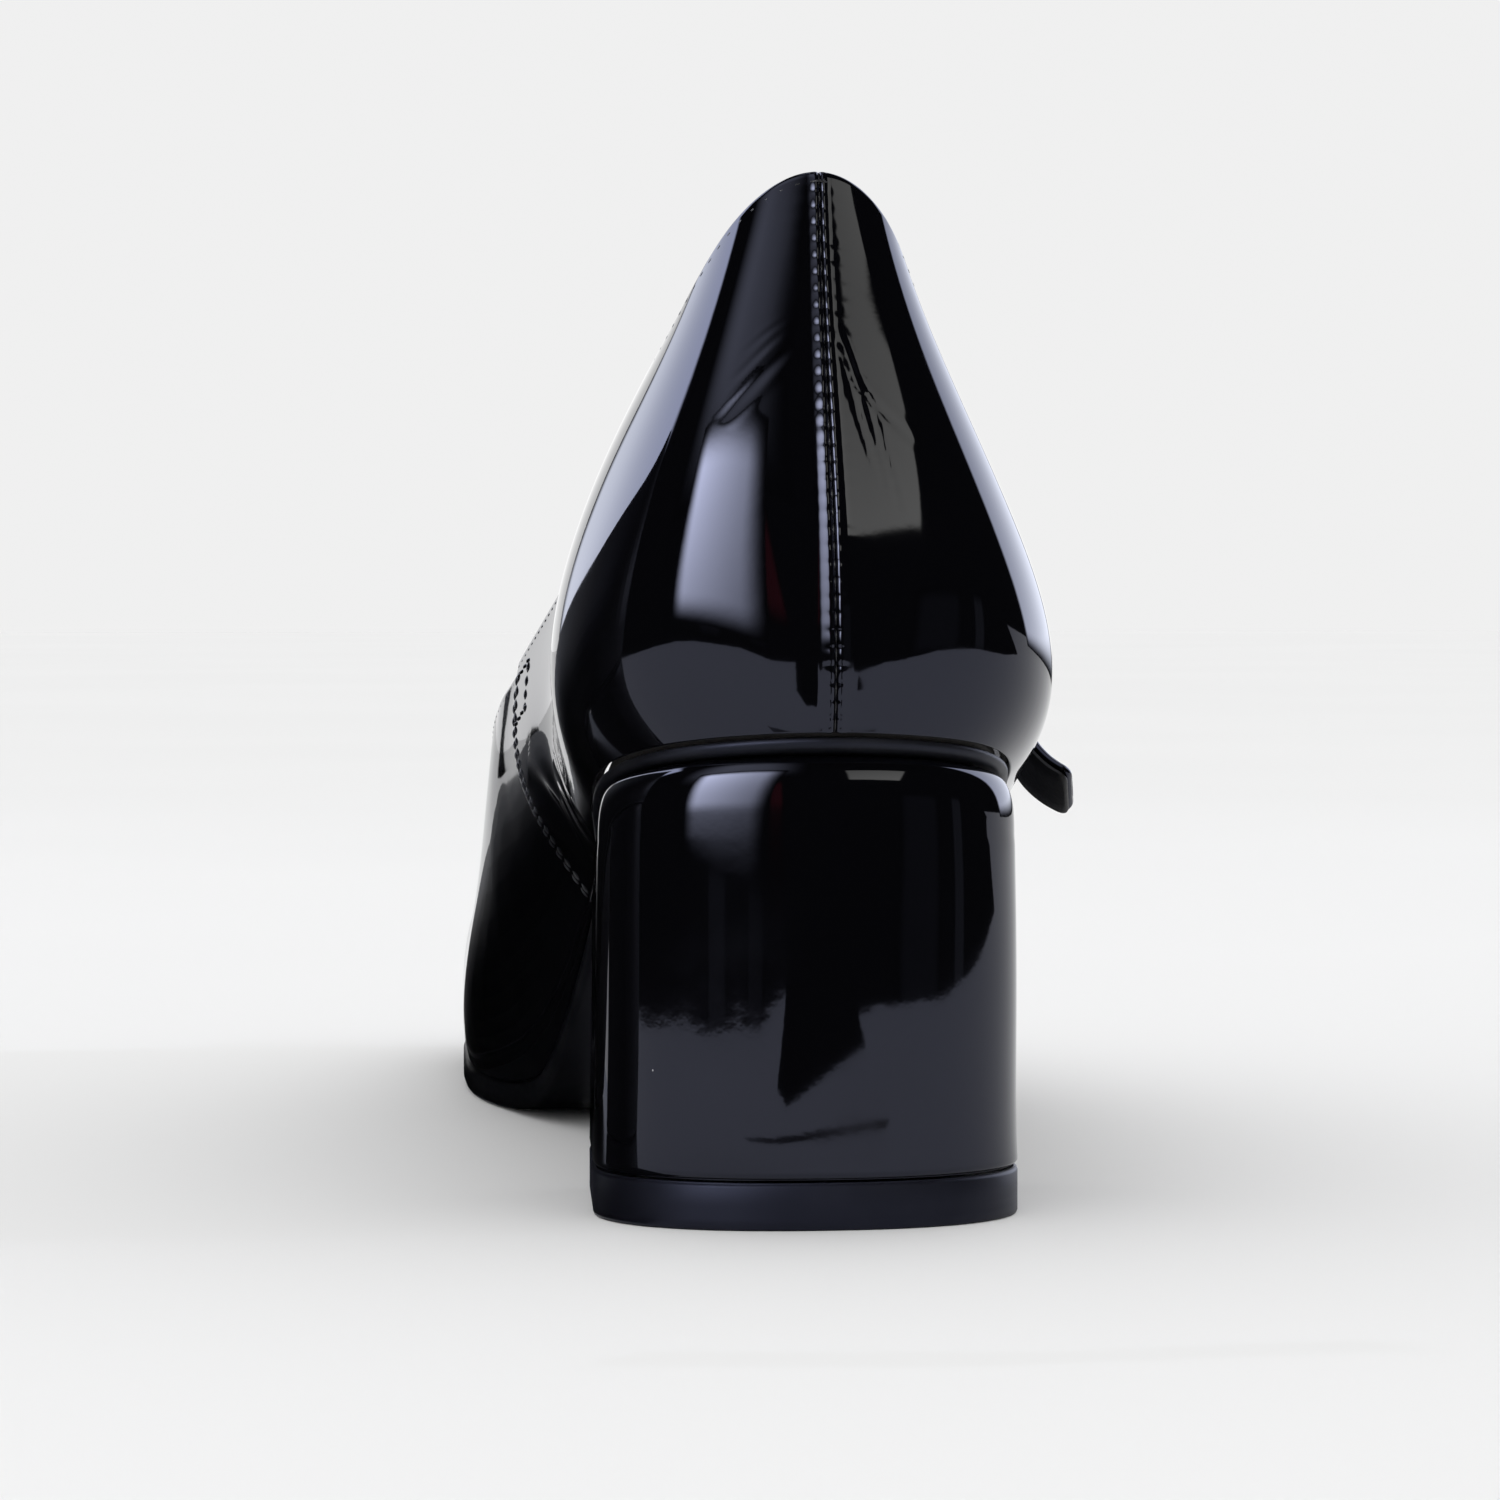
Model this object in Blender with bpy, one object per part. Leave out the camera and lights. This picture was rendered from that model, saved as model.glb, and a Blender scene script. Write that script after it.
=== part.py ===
"""Mary jane pump with a covered block heel: the right shoe of a pair, standing on its sole.

Metres, +Z up. The toe points to +Y and the outer (lateral) side to +X. The origin is the middle of the
top lift's ground face. Inside the functions, "along" runs from the back of the heel cup to the toe.
"""
from collections import namedtuple
from math import cos, pi, radians, sin

import bmesh
import bpy
import numpy as np
from mathutils import Matrix, Vector

# Length, widths and heights of the shoe
LENGTH = 0.236
SEAT_WIDTH = 0.0500
BALL_WIDTH = 0.0745
SEAT_HEIGHT = 0.0574
COLLAR_RISE = 0.0656
TOE_SPRING = 0.0060

# Thicknesses and clearances
UPPER_WALL = 0.0018
QUARTER_STEP = 0.0007
SEAM_RIDGE = 0.0004
INSOLE_THICK = 0.0022
SOLE_THICK = 0.0036
SHANK_THICK = 0.0026
SEAT_THICK = 0.0014
SOLE_EDGE = 0.0006
SOLE_BEVEL = 0.0010
INSOLE_BEVEL = 0.0006
GAP = 0.0003

# Heel and its top lift
HEEL_DEPTH = 0.0425
HEEL_BACK = 0.0028
HEEL_ROUND = 0.0180
HEEL_CORNER = 0.0022
HEEL_FLARE = 0.0010
HEEL_FOOT = 0.0005
RIM_INSET = 0.0019
RIM_HEIGHT = 0.0070
BREAST_TAPER = 0.0012
LIFT_THICK = 0.0056
LIFT_BEVEL = 0.0004

# Strap and buckle
STRAP_WIDTH = 0.0090
STRAP_THICK = 0.0022
STRAP_SLANT = radians(35)
STRAP_CROWN = 0.0110
ARCH_POWER = 0.9
TIP_ROUND = 0.0030
TAB_THICK = 0.0008
TAB_SLOT_AHEAD = 0.0010
TAB_SLOT_LENGTH = 0.0032
TAB_SLOT_DEPTH = 0.0060
BAND_CLEARANCE = 0.0012
BUCKLE_WIRE = 0.0014
BUCKLE_LENGTH = 0.0130
BUCKLE_CORNER = 0.0018
PRONG_WIRE = 0.0012

# Where the strap lies past the buckle: level on the wall, and how much farther out than over the hinge bar
STRAP_END = ((0.84, -0.0003), (0.72, -0.0006), (0.645, 0.0009), (0.565, 0.0049))
STRAP_START = (0.70, 0.80, 0.90, 1.0)

# Where the sole changes, as shares of LENGTH: start and length of each change
SHANK_FADE = (0.17, 0.06)
SOLE_FADE = (0.30, 0.22)
EDGE_FADE = (0.30, 0.20)
SPRING_START = 0.78

# How finely the upper is cut into facets
STATIONS_PER_ROW = 4
UPPER_LEVELS = 12

LIFT_CENTRE = HEEL_BACK + HEEL_DEPTH / 2

# Height of the feather line, where upper and sole meet: along as a share of LENGTH, height as a share of
# the way from the forefoot sole up to the heel seat.
SEAT_LINE = ((0.000, 1.013), (0.100, 0.903), (0.190, 0.792), (0.255, 0.685), (0.315, 0.570), (0.380, 0.360),
             (0.440, 0.160), (0.487, 0.050), (0.540, 0.012), (0.600, 0.000), (1.000, 0.000))

# Rows of the upper, from the back seam to the toe tip. "width" is the size that the across columns follow.
# foot is the feather line, top the topline; along is a share of LENGTH, across a share of the width, rise a
# share of COLLAR_RISE above the feather line under the topline. belly and brow are the handles of the wall's
# curve at its foot and top, out and up or down, as shares of the straight way from foot to topline.
Row = namedtuple("Row", "width foot_along foot_across top_along top_across top_rise "
                        "belly_out belly_up brow_out brow_down")

BACK = Row(SEAT_WIDTH, 0.0064, 0.024, 0.0314, 0.000, 1.021, 0.078, 0.30, 0.046, 0.36)
MEDIAL = (
    Row(SEAT_WIDTH, 0.024, -0.300, 0.041, -0.190, 0.948, 0.118, 0.28, 0.125, 0.38),
    Row(SEAT_WIDTH, 0.066, -0.460, 0.074, -0.314, 0.808, 0.18, 0.25, 0.185, 0.40),
    Row(SEAT_WIDTH, 0.127, -0.498, 0.131, -0.396, 0.712, 0.19, 0.24, 0.215, 0.41),
    Row(SEAT_WIDTH, 0.203, -0.470, 0.216, -0.424, 0.646, 0.20, 0.24, 0.155, 0.40),
    Row(SEAT_WIDTH, 0.263, -0.438, 0.322, -0.500, 0.643, 0.19, 0.26, 0.10, 0.40),
    Row(SEAT_WIDTH, 0.322, -0.430, 0.428, -0.580, 0.768, 0.19, 0.28, 0.07, 0.38),
    Row(BALL_WIDTH, 0.458, -0.336, 0.483, -0.422, 0.799, 0.15, 0.30, 0.05, 0.33),
    Row(BALL_WIDTH, 0.623, -0.443, 0.568, -0.413, 0.712, 0.08, 0.22, 0.05, 0.30),
    Row(BALL_WIDTH, 0.784, -0.440, 0.672, -0.283, 0.582, 0.05, 0.34, 0.22, 0.12),
    Row(BALL_WIDTH, 0.905, -0.372, 0.722, -0.154, 0.534, 0.04, 0.32, 0.40, 0.06),
)
TOE = Row(BALL_WIDTH, 0.9935, -0.094, 0.737, -0.027, 0.521, 0.02, 0.24, 0.50, 0.09)
LATERAL = (
    Row(SEAT_WIDTH, 0.025, 0.332, 0.041, 0.165, 0.948, 0.118, 0.28, 0.110, 0.38),
    Row(SEAT_WIDTH, 0.066, 0.472, 0.074, 0.272, 0.806, 0.20, 0.24, 0.190, 0.40),
    Row(SEAT_WIDTH, 0.127, 0.514, 0.131, 0.376, 0.700, 0.24, 0.22, 0.240, 0.41),
    Row(SEAT_WIDTH, 0.203, 0.520, 0.216, 0.464, 0.640, 0.26, 0.22, 0.20, 0.40),
    Row(SEAT_WIDTH, 0.271, 0.520, 0.322, 0.552, 0.636, 0.21, 0.25, 0.12, 0.40),
    Row(SEAT_WIDTH, 0.339, 0.540, 0.428, 0.626, 0.730, 0.16, 0.28, 0.08, 0.38),
    Row(BALL_WIDTH, 0.449, 0.423, 0.483, 0.456, 0.761, 0.11, 0.30, 0.08, 0.33),
    Row(BALL_WIDTH, 0.593, 0.530, 0.580, 0.423, 0.648, 0.06, 0.24, 0.12, 0.28),
    Row(BALL_WIDTH, 0.763, 0.466, 0.678, 0.295, 0.555, 0.05, 0.32, 0.25, 0.12),
    Row(BALL_WIDTH, 0.914, 0.262, 0.725, 0.128, 0.525, 0.04, 0.30, 0.40, 0.06),
)
SEAM_ROW = 6
LAST_ROW = len(MEDIAL) + 1
SEAM_LIP = 0.015
SEAM_FADE = 1.2
RIDGE_ROWS = (0.0, 0.07, 0.12)
HEEL_POWER = 0.87
RIM_STEPS = ((0.0, 1.0), (0.05, 0.62), (0.16, 0.33), (0.42, 0.12), (1.0, 0.0))

COLOURS = {
    "patent": ((0.012, 0.012, 0.015), 0.08),
    "lining": ((0.045, 0.040, 0.038), 0.60),
    "sole": ((0.018, 0.018, 0.021), 0.45),
    "rubber": ((0.022, 0.023, 0.028), 0.38),
    "metal": ((0.62, 0.62, 0.64), 0.22),
}


def material(name):
    """A plain finish of the given name, made once."""
    if name in bpy.data.materials:
        return bpy.data.materials[name]
    colour, roughness = COLOURS[name]
    made = bpy.data.materials.new(name)
    made.use_nodes = True
    shader = made.node_tree.nodes["Principled BSDF"]
    shader.inputs["Base Color"].default_value = (*colour, 1)
    shader.inputs["Roughness"].default_value = roughness
    shader.inputs["Metallic"].default_value = 1.0 if name == "metal" else 0.0
    return made


def unit(vectors):
    return vectors / np.linalg.norm(vectors, axis=-1, keepdims=True)


def ease(value):
    """A smooth step from 0 to 1."""
    value = np.clip(value, 0, 1)
    return value * value * (3 - 2 * value)


def hermite(knots, values, slopes, at):
    """The cubic through values with the given slopes, read at each place in at."""
    i = np.clip(np.searchsorted(knots, at, side="right") - 1, 0, len(knots) - 2)
    step = knots[i + 1] - knots[i]
    s = (at - knots[i]) / step
    if values.ndim > 1:
        step, s = step[:, None], s[:, None]
    return ((1 + 2 * s) * (1 - s) ** 2 * values[i] + s * (1 - s) ** 2 * step * slopes[i]
            + s * s * (3 - 2 * s) * values[i + 1] + s * s * (s - 1) * step * slopes[i + 1])


def steady_slopes(knots, values):
    """Slopes that keep a rising or falling line of heights from overshooting."""
    rise = np.diff(values) / np.diff(knots)
    slopes = np.zeros(len(values))
    both = rise[:-1] * rise[1:] > 0
    slopes[1:-1][both] = 2 * rise[:-1][both] * rise[1:][both] / (rise[:-1][both] + rise[1:][both])
    slopes[0], slopes[-1] = rise[0], rise[-1]
    return slopes


def open_curve(points, count):
    """Points of a smooth curve through the given ones."""
    points = np.array(points)
    knots = np.concatenate([[0], np.cumsum(np.linalg.norm(np.diff(points, axis=0), axis=1))])
    slopes = np.gradient(points, knots, axis=0, edge_order=2)
    return hermite(knots, points, slopes, np.linspace(0, knots[-1], count))


def closed_slopes(knots, values):
    """Slopes of the smoothest closed cubic; the last knot stands for the first value again."""
    step = np.diff(knots)
    count = len(step)
    matrix = np.zeros((count, count))
    right = np.zeros((count, values.shape[1]))
    for i in range(count):
        before, after = 1 / step[i - 1], 1 / step[i]
        matrix[i, i - 1] += before
        matrix[i, i] += 2 * (before + after)
        matrix[i, (i + 1) % count] += after
        right[i] = 3 * ((values[i] - values[i - 1]) * before ** 2
                        + (values[(i + 1) % count] - values[i]) * after ** 2)
    return np.linalg.solve(matrix, right)


def seat_height(along):
    """Height of the sole's upper face."""
    line = np.array(SEAT_LINE)
    slopes = steady_slopes(line[:, 0], line[:, 1])
    share = hermite(line[:, 0], line[:, 1], slopes, np.atleast_1d(along) / LENGTH)
    spring = (np.clip(np.atleast_1d(along) / LENGTH - SPRING_START, 0, None) / (1 - SPRING_START)) ** 2
    return SOLE_THICK + (SEAT_HEIGHT - SOLE_THICK) * share + TOE_SPRING * spring


def sole_thickness(along):
    """The sole is thin on the heel seat, thicker on the shank and full at the forefoot."""
    share = np.atleast_1d(along) / LENGTH
    shank = SEAT_THICK + (SHANK_THICK - SEAT_THICK) * ease((share - SHANK_FADE[0]) / SHANK_FADE[1])
    return shank + (SOLE_THICK - SHANK_THICK) * ease((share - SOLE_FADE[0]) / SOLE_FADE[1])


def ring_table():
    """All rows round the shoe, back, medial side, toe and lateral side, as real lengths."""
    rows = (BACK, *MEDIAL, TOE, *reversed(LATERAL))
    table = []
    for row in rows:
        foot_along, top_along = row.foot_along * LENGTH, row.top_along * LENGTH
        top = float(seat_height(top_along)[0]) + row.top_rise * COLLAR_RISE
        table.append((row.foot_across * row.width, foot_along, row.top_across * row.width, top_along, top,
                      row.belly_out, row.belly_up, row.brow_out, row.brow_down))
    return np.array(table)


RING = ring_table()
RING_CLOSED = np.vstack([RING, RING[:1]])
RING_STEPS = np.linalg.norm(np.diff(RING_CLOSED[:, :2], axis=0), axis=1)
RING_STEPS += np.linalg.norm(np.diff(RING_CLOSED[:, 2:5], axis=0), axis=1)
RING_KNOTS = np.concatenate([[0], np.cumsum(RING_STEPS)])
RING_SLOPES = closed_slopes(RING_KNOTS, RING)
RING_SLOPES = np.vstack([RING_SLOPES, RING_SLOPES[:1]])


def ring(places):
    """The table's columns at places counted in rows round the shoe."""
    places = np.mod(places, 2 * LAST_ROW)
    along = np.interp(places, np.arange(len(RING_KNOTS)), RING_KNOTS)
    return hermite(RING_KNOTS, RING_CLOSED, RING_SLOPES, along)


def foot_line(places, outwards=0.0):
    """The feather line in plan, moved outwards by a distance, and its outward direction."""
    ahead, behind = ring(places + 0.01), ring(places - 0.01)
    way = unit(ahead[:, :2] - behind[:, :2])
    out = np.stack([-way[:, 1], way[:, 0]], axis=1)
    return ring(places)[:, :2] + out * np.reshape(outwards, (-1, 1)), out


def upper_face(places, levels):
    """The upper's outer face without its overlays: one point for each place and level."""
    table = ring(places)
    foot, out = foot_line(places)
    foot = np.column_stack([foot, seat_height(foot[:, 1]) + GAP])
    top = table[:, 2:5]
    out = np.column_stack([out, np.zeros(len(out))])
    up = np.array([0, 0, 1.0])
    reach = np.linalg.norm(top - foot, axis=1, keepdims=True)
    belly = foot + reach * (table[:, 5:6] * out + table[:, 6:7] * up)
    brow = top + reach * (table[:, 7:8] * out - table[:, 8:9] * up)
    t = np.reshape(levels, (1, -1, 1))
    foot, belly, brow, top = (p[:, None, :] for p in (foot, belly, brow, top))
    return (1 - t) ** 3 * foot + 3 * t * (1 - t) ** 2 * belly + 3 * t * t * (1 - t) * brow + t ** 3 * top


def upper_normals(places, levels):
    """Outward directions of the upper's face."""
    levels = np.asarray(levels, float)
    round_way = upper_face(places + 0.01, levels) - upper_face(places - 0.01, levels)
    up_way = upper_face(places, levels + 0.004) - upper_face(places, levels - 0.004)
    return unit(np.cross(up_way, round_way))


def overlay(places):
    """How far the quarters and the closed back seam stand proud of the vamp's level."""
    row = LAST_ROW - np.abs(LAST_ROW - np.mod(places, 2 * LAST_ROW))
    quarter = np.where(row < SEAM_ROW, ease((row - SEAM_ROW + SEAM_FADE) / SEAM_FADE), 0) * QUARTER_STEP
    return quarter + SEAM_RIDGE * (1 - ease(row / RIDGE_ROWS[-1]))


def side_rows():
    """Rows of one side, back to toe, with close pairs at the back ridge and at the side seam."""
    count = STATIONS_PER_ROW * LAST_ROW
    rows = set(np.round(np.linspace(0, LAST_ROW, count + 1), 4)) - {float(SEAM_ROW)}
    rows |= set(RIDGE_ROWS) | {SEAM_ROW - SEAM_LIP, SEAM_ROW + SEAM_LIP}
    return np.array(sorted(rows))


def round_places(rows):
    """Places up the medial side and back down the lateral side, paired row by row."""
    return np.concatenate([rows, 2 * LAST_ROW - rows[-2:0:-1]])


def solid(name, loops, finish, closed=False):
    """A body skinned over loops of points; it is closed by lids, or by joining the last loop to the first."""
    count = len(loops[0])
    shape = bmesh.new()
    grid = [[shape.verts.new(point) for point in loop] for loop in loops]
    pairs = list(zip(grid, grid[1:]))
    if closed:
        pairs.append((grid[-1], grid[0]))
    for lower, higher in pairs:
        for i in range(count):
            j = (i + 1) % count
            shape.faces.new((lower[i], lower[j], higher[j], higher[i]))
    if not closed:
        for loop in (grid[0], grid[-1]):
            for i in range(count // 2):
                corners = [loop[i], loop[i + 1], loop[-i - 1], loop[-i]]
                shape.faces.new(list(dict.fromkeys(corners)))
    bmesh.ops.recalc_face_normals(shape, faces=shape.faces)
    mesh = bpy.data.meshes.new(name)
    shape.to_mesh(mesh)
    shape.free()
    mesh.materials.append(material(finish))
    made = bpy.data.objects.new(name, mesh)
    PARTS.objects.link(made)
    made.parent = SHOE
    mesh.shade_smooth()
    mesh.set_sharp_from_angle(angle=radians(40))
    return made


def make_upper():
    places = round_places(side_rows())
    levels = np.linspace(0, 1, UPPER_LEVELS + 1)
    face = upper_face(places, levels)
    out = upper_normals(places, levels)
    outside = face + out * overlay(places)[:, None, None]
    inside = face - out * UPPER_WALL
    inner_foot, _ = foot_line(places, -UPPER_WALL)
    inside[:, 0] = np.column_stack([inner_foot, seat_height(inner_foot[:, 1]) + GAP])
    outside[:, 0, 2] = seat_height(outside[:, 0, 1]) + GAP
    loops = [outside[:, i] for i in range(len(levels))] + [inside[:, i] for i in reversed(range(len(levels)))]
    return solid("upper", loops, "patent", closed=True)


def plate_loop(places, outwards, drop):
    """A loop along the feather line, moved outwards and down from the sole's upper face."""
    plan, _ = foot_line(places, outwards)
    return np.column_stack([plan, seat_height(plan[:, 1]) - drop(plan[:, 1])])


def sole_edge(places):
    """How far the sole's edge stands out past the feather line."""
    along = ring(places)[:, 1] / LENGTH
    return -GAP + (SOLE_EDGE + GAP) * ease((along - EDGE_FADE[0]) / EDGE_FADE[1])


def make_outsole():
    places = round_places(np.linspace(0, LAST_ROW, STATIONS_PER_ROW * LAST_ROW + 1))
    edge = sole_edge(places)
    steps = ((0.4, 0.0), (0.0, 0.18), (0.0, 0.62), (0.3, 0.86), (1.0, 1.0))
    loops = [plate_loop(places, edge - inset * SOLE_BEVEL, lambda y, part=part: part * sole_thickness(y))
             for inset, part in steps]
    return solid("outsole", loops, "sole")


def make_insole():
    places = round_places(np.linspace(0, LAST_ROW, STATIONS_PER_ROW * LAST_ROW + 1))
    inset = np.full(len(places), -UPPER_WALL - GAP)
    steps = ((0.0, -GAP), (0.0, -GAP - INSOLE_THICK + INSOLE_BEVEL), (-INSOLE_BEVEL, -GAP - INSOLE_THICK))
    loops = [plate_loop(places, inset + step, lambda y, rise=rise: rise) for step, rise in steps]
    return solid("insole", loops, "lining")


def heel_outline(inset, width):
    """Plan of the block: a rounded back, sides that close in a little, and a flat breast."""
    half = width / 2 - inset
    depth = HEEL_DEPTH - 2 * inset
    points = []
    for angle in np.linspace(0, pi / 2, 13):
        points.append((half * sin(angle) ** HEEL_POWER, HEEL_ROUND * (1 - cos(angle) ** HEEL_POWER)))
    breast = half - BREAST_TAPER
    for share in (0.34, 0.67):
        points.append((half - BREAST_TAPER * share, HEEL_ROUND + (depth - HEEL_CORNER - HEEL_ROUND) * share))
    for angle in np.linspace(0, pi / 2, 5):
        points.append((breast - HEEL_CORNER * (1 - cos(angle)), depth - HEEL_CORNER * (1 - sin(angle))))
    points.append((breast * 0.5, depth))
    points.append((0, depth))
    side = np.array(points) + (0, HEEL_BACK + inset)
    other = side[-2:0:-1] * (-1, 1)
    return np.vstack([side, other])


def heel_loop(inset, share, drop=0.0):
    """A loop of the block between its foot and the slanted seat, at a share of the way up."""
    plan = heel_outline(inset, SEAT_WIDTH + HEEL_FLARE * (1 - share))
    low = LIFT_THICK + GAP
    high = seat_height(plan[:, 1]) - sole_thickness(plan[:, 1]) - GAP
    return np.column_stack([plan, low + (high - low) * share - drop])


def make_heel():
    loops = [heel_loop(HEEL_FOOT, 0), heel_loop(0, 0, -HEEL_FOOT), heel_loop(0, 0.33), heel_loop(0, 0.66)]
    loops += [heel_loop(inset * RIM_INSET, 1, drop * RIM_HEIGHT) for inset, drop in RIM_STEPS]
    return solid("heel", loops, "patent")


def make_top_lift():
    width = SEAT_WIDTH + HEEL_FLARE
    levels = ((LIFT_BEVEL, 0.0), (0.0, LIFT_BEVEL), (0.0, LIFT_THICK - LIFT_BEVEL), (LIFT_BEVEL, LIFT_THICK))
    loops = []
    for inset, height in levels:
        plan = heel_outline(inset, width)
        loops.append(np.column_stack([plan, np.full(len(plan), height)]))
    return solid("top_lift", loops, "rubber")


def on_upper(place, level, lift):
    """A point over the upper's outer face by a distance, or inside it by a negative one."""
    places, levels = np.array([float(place)]), [level]
    return (upper_face(places, levels) + upper_normals(places, levels) * lift)[0, 0]


STRAP_AXIS = np.array([0, cos(STRAP_SLANT), -sin(STRAP_SLANT)])
STRAP_RISE = np.array([0, sin(STRAP_SLANT), cos(STRAP_SLANT)])
STRAP_ROW = 6.05
BUCKLE_PLACE = 2 * LAST_ROW - STRAP_ROW
TAB_SEAT = QUARTER_STEP + BAND_CLEARANCE + TAB_THICK / 2
BAR_SEAT = TAB_SEAT + TAB_THICK / 2 + GAP + BUCKLE_WIRE / 2
BAR_REACH = STRAP_THICK / 2 + GAP + TAB_THICK + GAP + BUCKLE_WIRE / 2
FRAME_HALF_WIDTH = STRAP_WIDTH / 2 + 2 * GAP + BUCKLE_WIRE / 2
TAB_WIDTH = 2 * (FRAME_HALF_WIDTH - BUCKLE_CORNER - GAP)


def strap_route():
    """Middle line of the strap: up inside the medial wall, over the instep and past the buckle."""
    inside = -UPPER_WALL - BAND_CLEARANCE - STRAP_THICK / 2
    route = [on_upper(STRAP_ROW, level, inside) for level in STRAP_START]
    near = route[-1]
    far = on_upper(BUCKLE_PLACE, 1.0, BAR_SEAT + BAR_REACH)
    for turn in np.radians((36, 63, 90, 117, 144)):
        share = 0.5 - 0.5 * cos(turn)
        route.append(near + (far - near) * share + STRAP_RISE * STRAP_CROWN * sin(turn) ** ARCH_POWER)
    route.append(far)
    route += [on_upper(BUCKLE_PLACE, level, BAR_SEAT + BAR_REACH + lift) for level, lift in STRAP_END]
    return open_curve(route, 49)


def ribbon_frames(route):
    """Direction across the band and out of its face, for each point of its route."""
    way = unit(np.gradient(route, axis=0))
    across = unit(STRAP_AXIS - way * (way @ STRAP_AXIS)[:, None])
    return across, np.cross(across, way)


def band(name, route, width, thick, finish):
    """A flat band with eased edges along a route."""
    across, face = ribbon_frames(route)
    corners = ((-1.0, 0.0), (-0.94, 0.8), (-0.80, 1.0), (0.80, 1.0), (0.94, 0.8),
               (1.0, 0.0), (0.94, -0.8), (0.80, -1.0), (-0.80, -1.0), (-0.94, -0.8))
    loops = []
    for point, side, out, half in zip(route, across, face, np.broadcast_to(width, len(route)) / 2):
        loops.append([point + side * a * half + out * b * thick / 2 for a, b in corners])
    return solid(name, loops, finish)


def cut(target, cutter):
    """Take a hidden cutter out of a piece."""
    cutter.hide_render = True
    cutter.display_type = "WIRE"
    cutter.parent = SHOE
    for home in list(cutter.users_collection):
        home.objects.unlink(cutter)
    CUTTERS.objects.link(cutter)
    modifier = target.modifiers.new("cut", "BOOLEAN")
    modifier.object = cutter
    modifier.solver = "EXACT"


def turned(right, forward, up, centre):
    """A placement whose own axes lie along three directions."""
    matrix = Matrix((right, forward, up)).transposed().to_4x4()
    matrix.translation = Vector(centre)
    return matrix


def buckle_frame():
    """Middles of the hinge bar and the far bar, the way from one to the other, and outwards from the shoe."""
    bar = on_upper(BUCKLE_PLACE, 1.0, BAR_SEAT)
    route = strap_route()
    over_bar = on_upper(BUCKLE_PLACE, 1.0, BAR_SEAT + BAR_REACH)
    nearest = int(np.argmin(np.linalg.norm(route - over_bar, axis=1)))
    _, face = ribbon_frames(route)
    reach = BUCKLE_LENGTH - BUCKLE_WIRE
    ahead = route[:nearest]
    lifted = ahead + face[:nearest] * (STRAP_THICK / 2 + GAP + BUCKLE_WIRE / 2)
    far_bar = lifted[int(np.argmin(np.abs(np.linalg.norm(lifted - bar, axis=1) - reach)))]
    along = unit(far_bar - bar)
    along = unit(along - STRAP_AXIS * (along @ STRAP_AXIS))
    return bar, bar + along * reach, along, np.cross(STRAP_AXIS, along)


def wire(name, points, diameter, finish, closed=False):
    """A round wire through the points."""
    curve = bpy.data.curves.new(name, "CURVE")
    curve.dimensions = "3D"
    curve.bevel_depth = diameter / 2
    curve.bevel_resolution = 2
    curve.use_fill_caps = not closed
    spline = curve.splines.new("POLY")
    spline.points.add(len(points) - 1)
    for slot, point in zip(spline.points, points):
        slot.co = (*point, 1)
    spline.use_cyclic_u = closed
    curve.materials.append(material(finish))
    made = bpy.data.objects.new(name, curve)
    made.parent = SHOE
    PARTS.objects.link(made)
    return made


def make_strap():
    route = strap_route()
    left = np.linalg.norm(route[-1] - route, axis=1)
    width = STRAP_WIDTH * (0.74 + 0.26 * ease(left / TIP_ROUND))
    strap = band("strap", route, width, STRAP_THICK, "patent")
    start, end = prong_line()
    way = unit(end - start)
    side = unit(np.cross(way, STRAP_AXIS))
    bpy.ops.mesh.primitive_cylinder_add(vertices=16, radius=PRONG_WIRE / 2 + GAP, depth=2 * BUCKLE_LENGTH)
    cutter = bpy.context.object
    cutter.name = "prong_hole"
    cutter.matrix_world = turned(side, STRAP_AXIS, way, (start + end) / 2)
    cut(strap, cutter)


def prong_line():
    """Where the prong's straight part starts on the hinge bar and ends on the far bar."""
    bar, far_bar, along, out = buckle_frame()
    start = bar + along * (BUCKLE_WIRE / 2 + GAP + PRONG_WIRE / 2)
    end = far_bar + out * (BUCKLE_WIRE / 2 + GAP + PRONG_WIRE / 2) + along * BUCKLE_WIRE * 0.6
    return start, end


def make_buckle():
    bar, far_bar, along, out = buckle_frame()
    half_length = (BUCKLE_LENGTH - BUCKLE_WIRE) / 2
    middle = (bar + far_bar) / 2
    points = []
    for corner, (a, b) in enumerate(((1, 1), (-1, 1), (-1, -1), (1, -1))):
        for angle in np.radians(np.linspace(0, 90, 5) + 90 * corner):
            side = a * (FRAME_HALF_WIDTH - BUCKLE_CORNER) + BUCKLE_CORNER * cos(angle)
            length = b * (half_length - BUCKLE_CORNER) + BUCKLE_CORNER * sin(angle)
            points.append(middle + STRAP_AXIS * side + along * length)
    wire("buckle_frame", points, BUCKLE_WIRE, "metal", closed=True)
    start, end = prong_line()
    radius = BUCKLE_WIRE / 2 + GAP + PRONG_WIRE / 2
    hook = [bar - out * radius * cos(turn) + along * radius * sin(turn) for turn in np.radians((10, 35, 60))]
    wire("buckle_prong", [*hook, start, start + (end - start) * 0.5, end], PRONG_WIRE, "metal")


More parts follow.
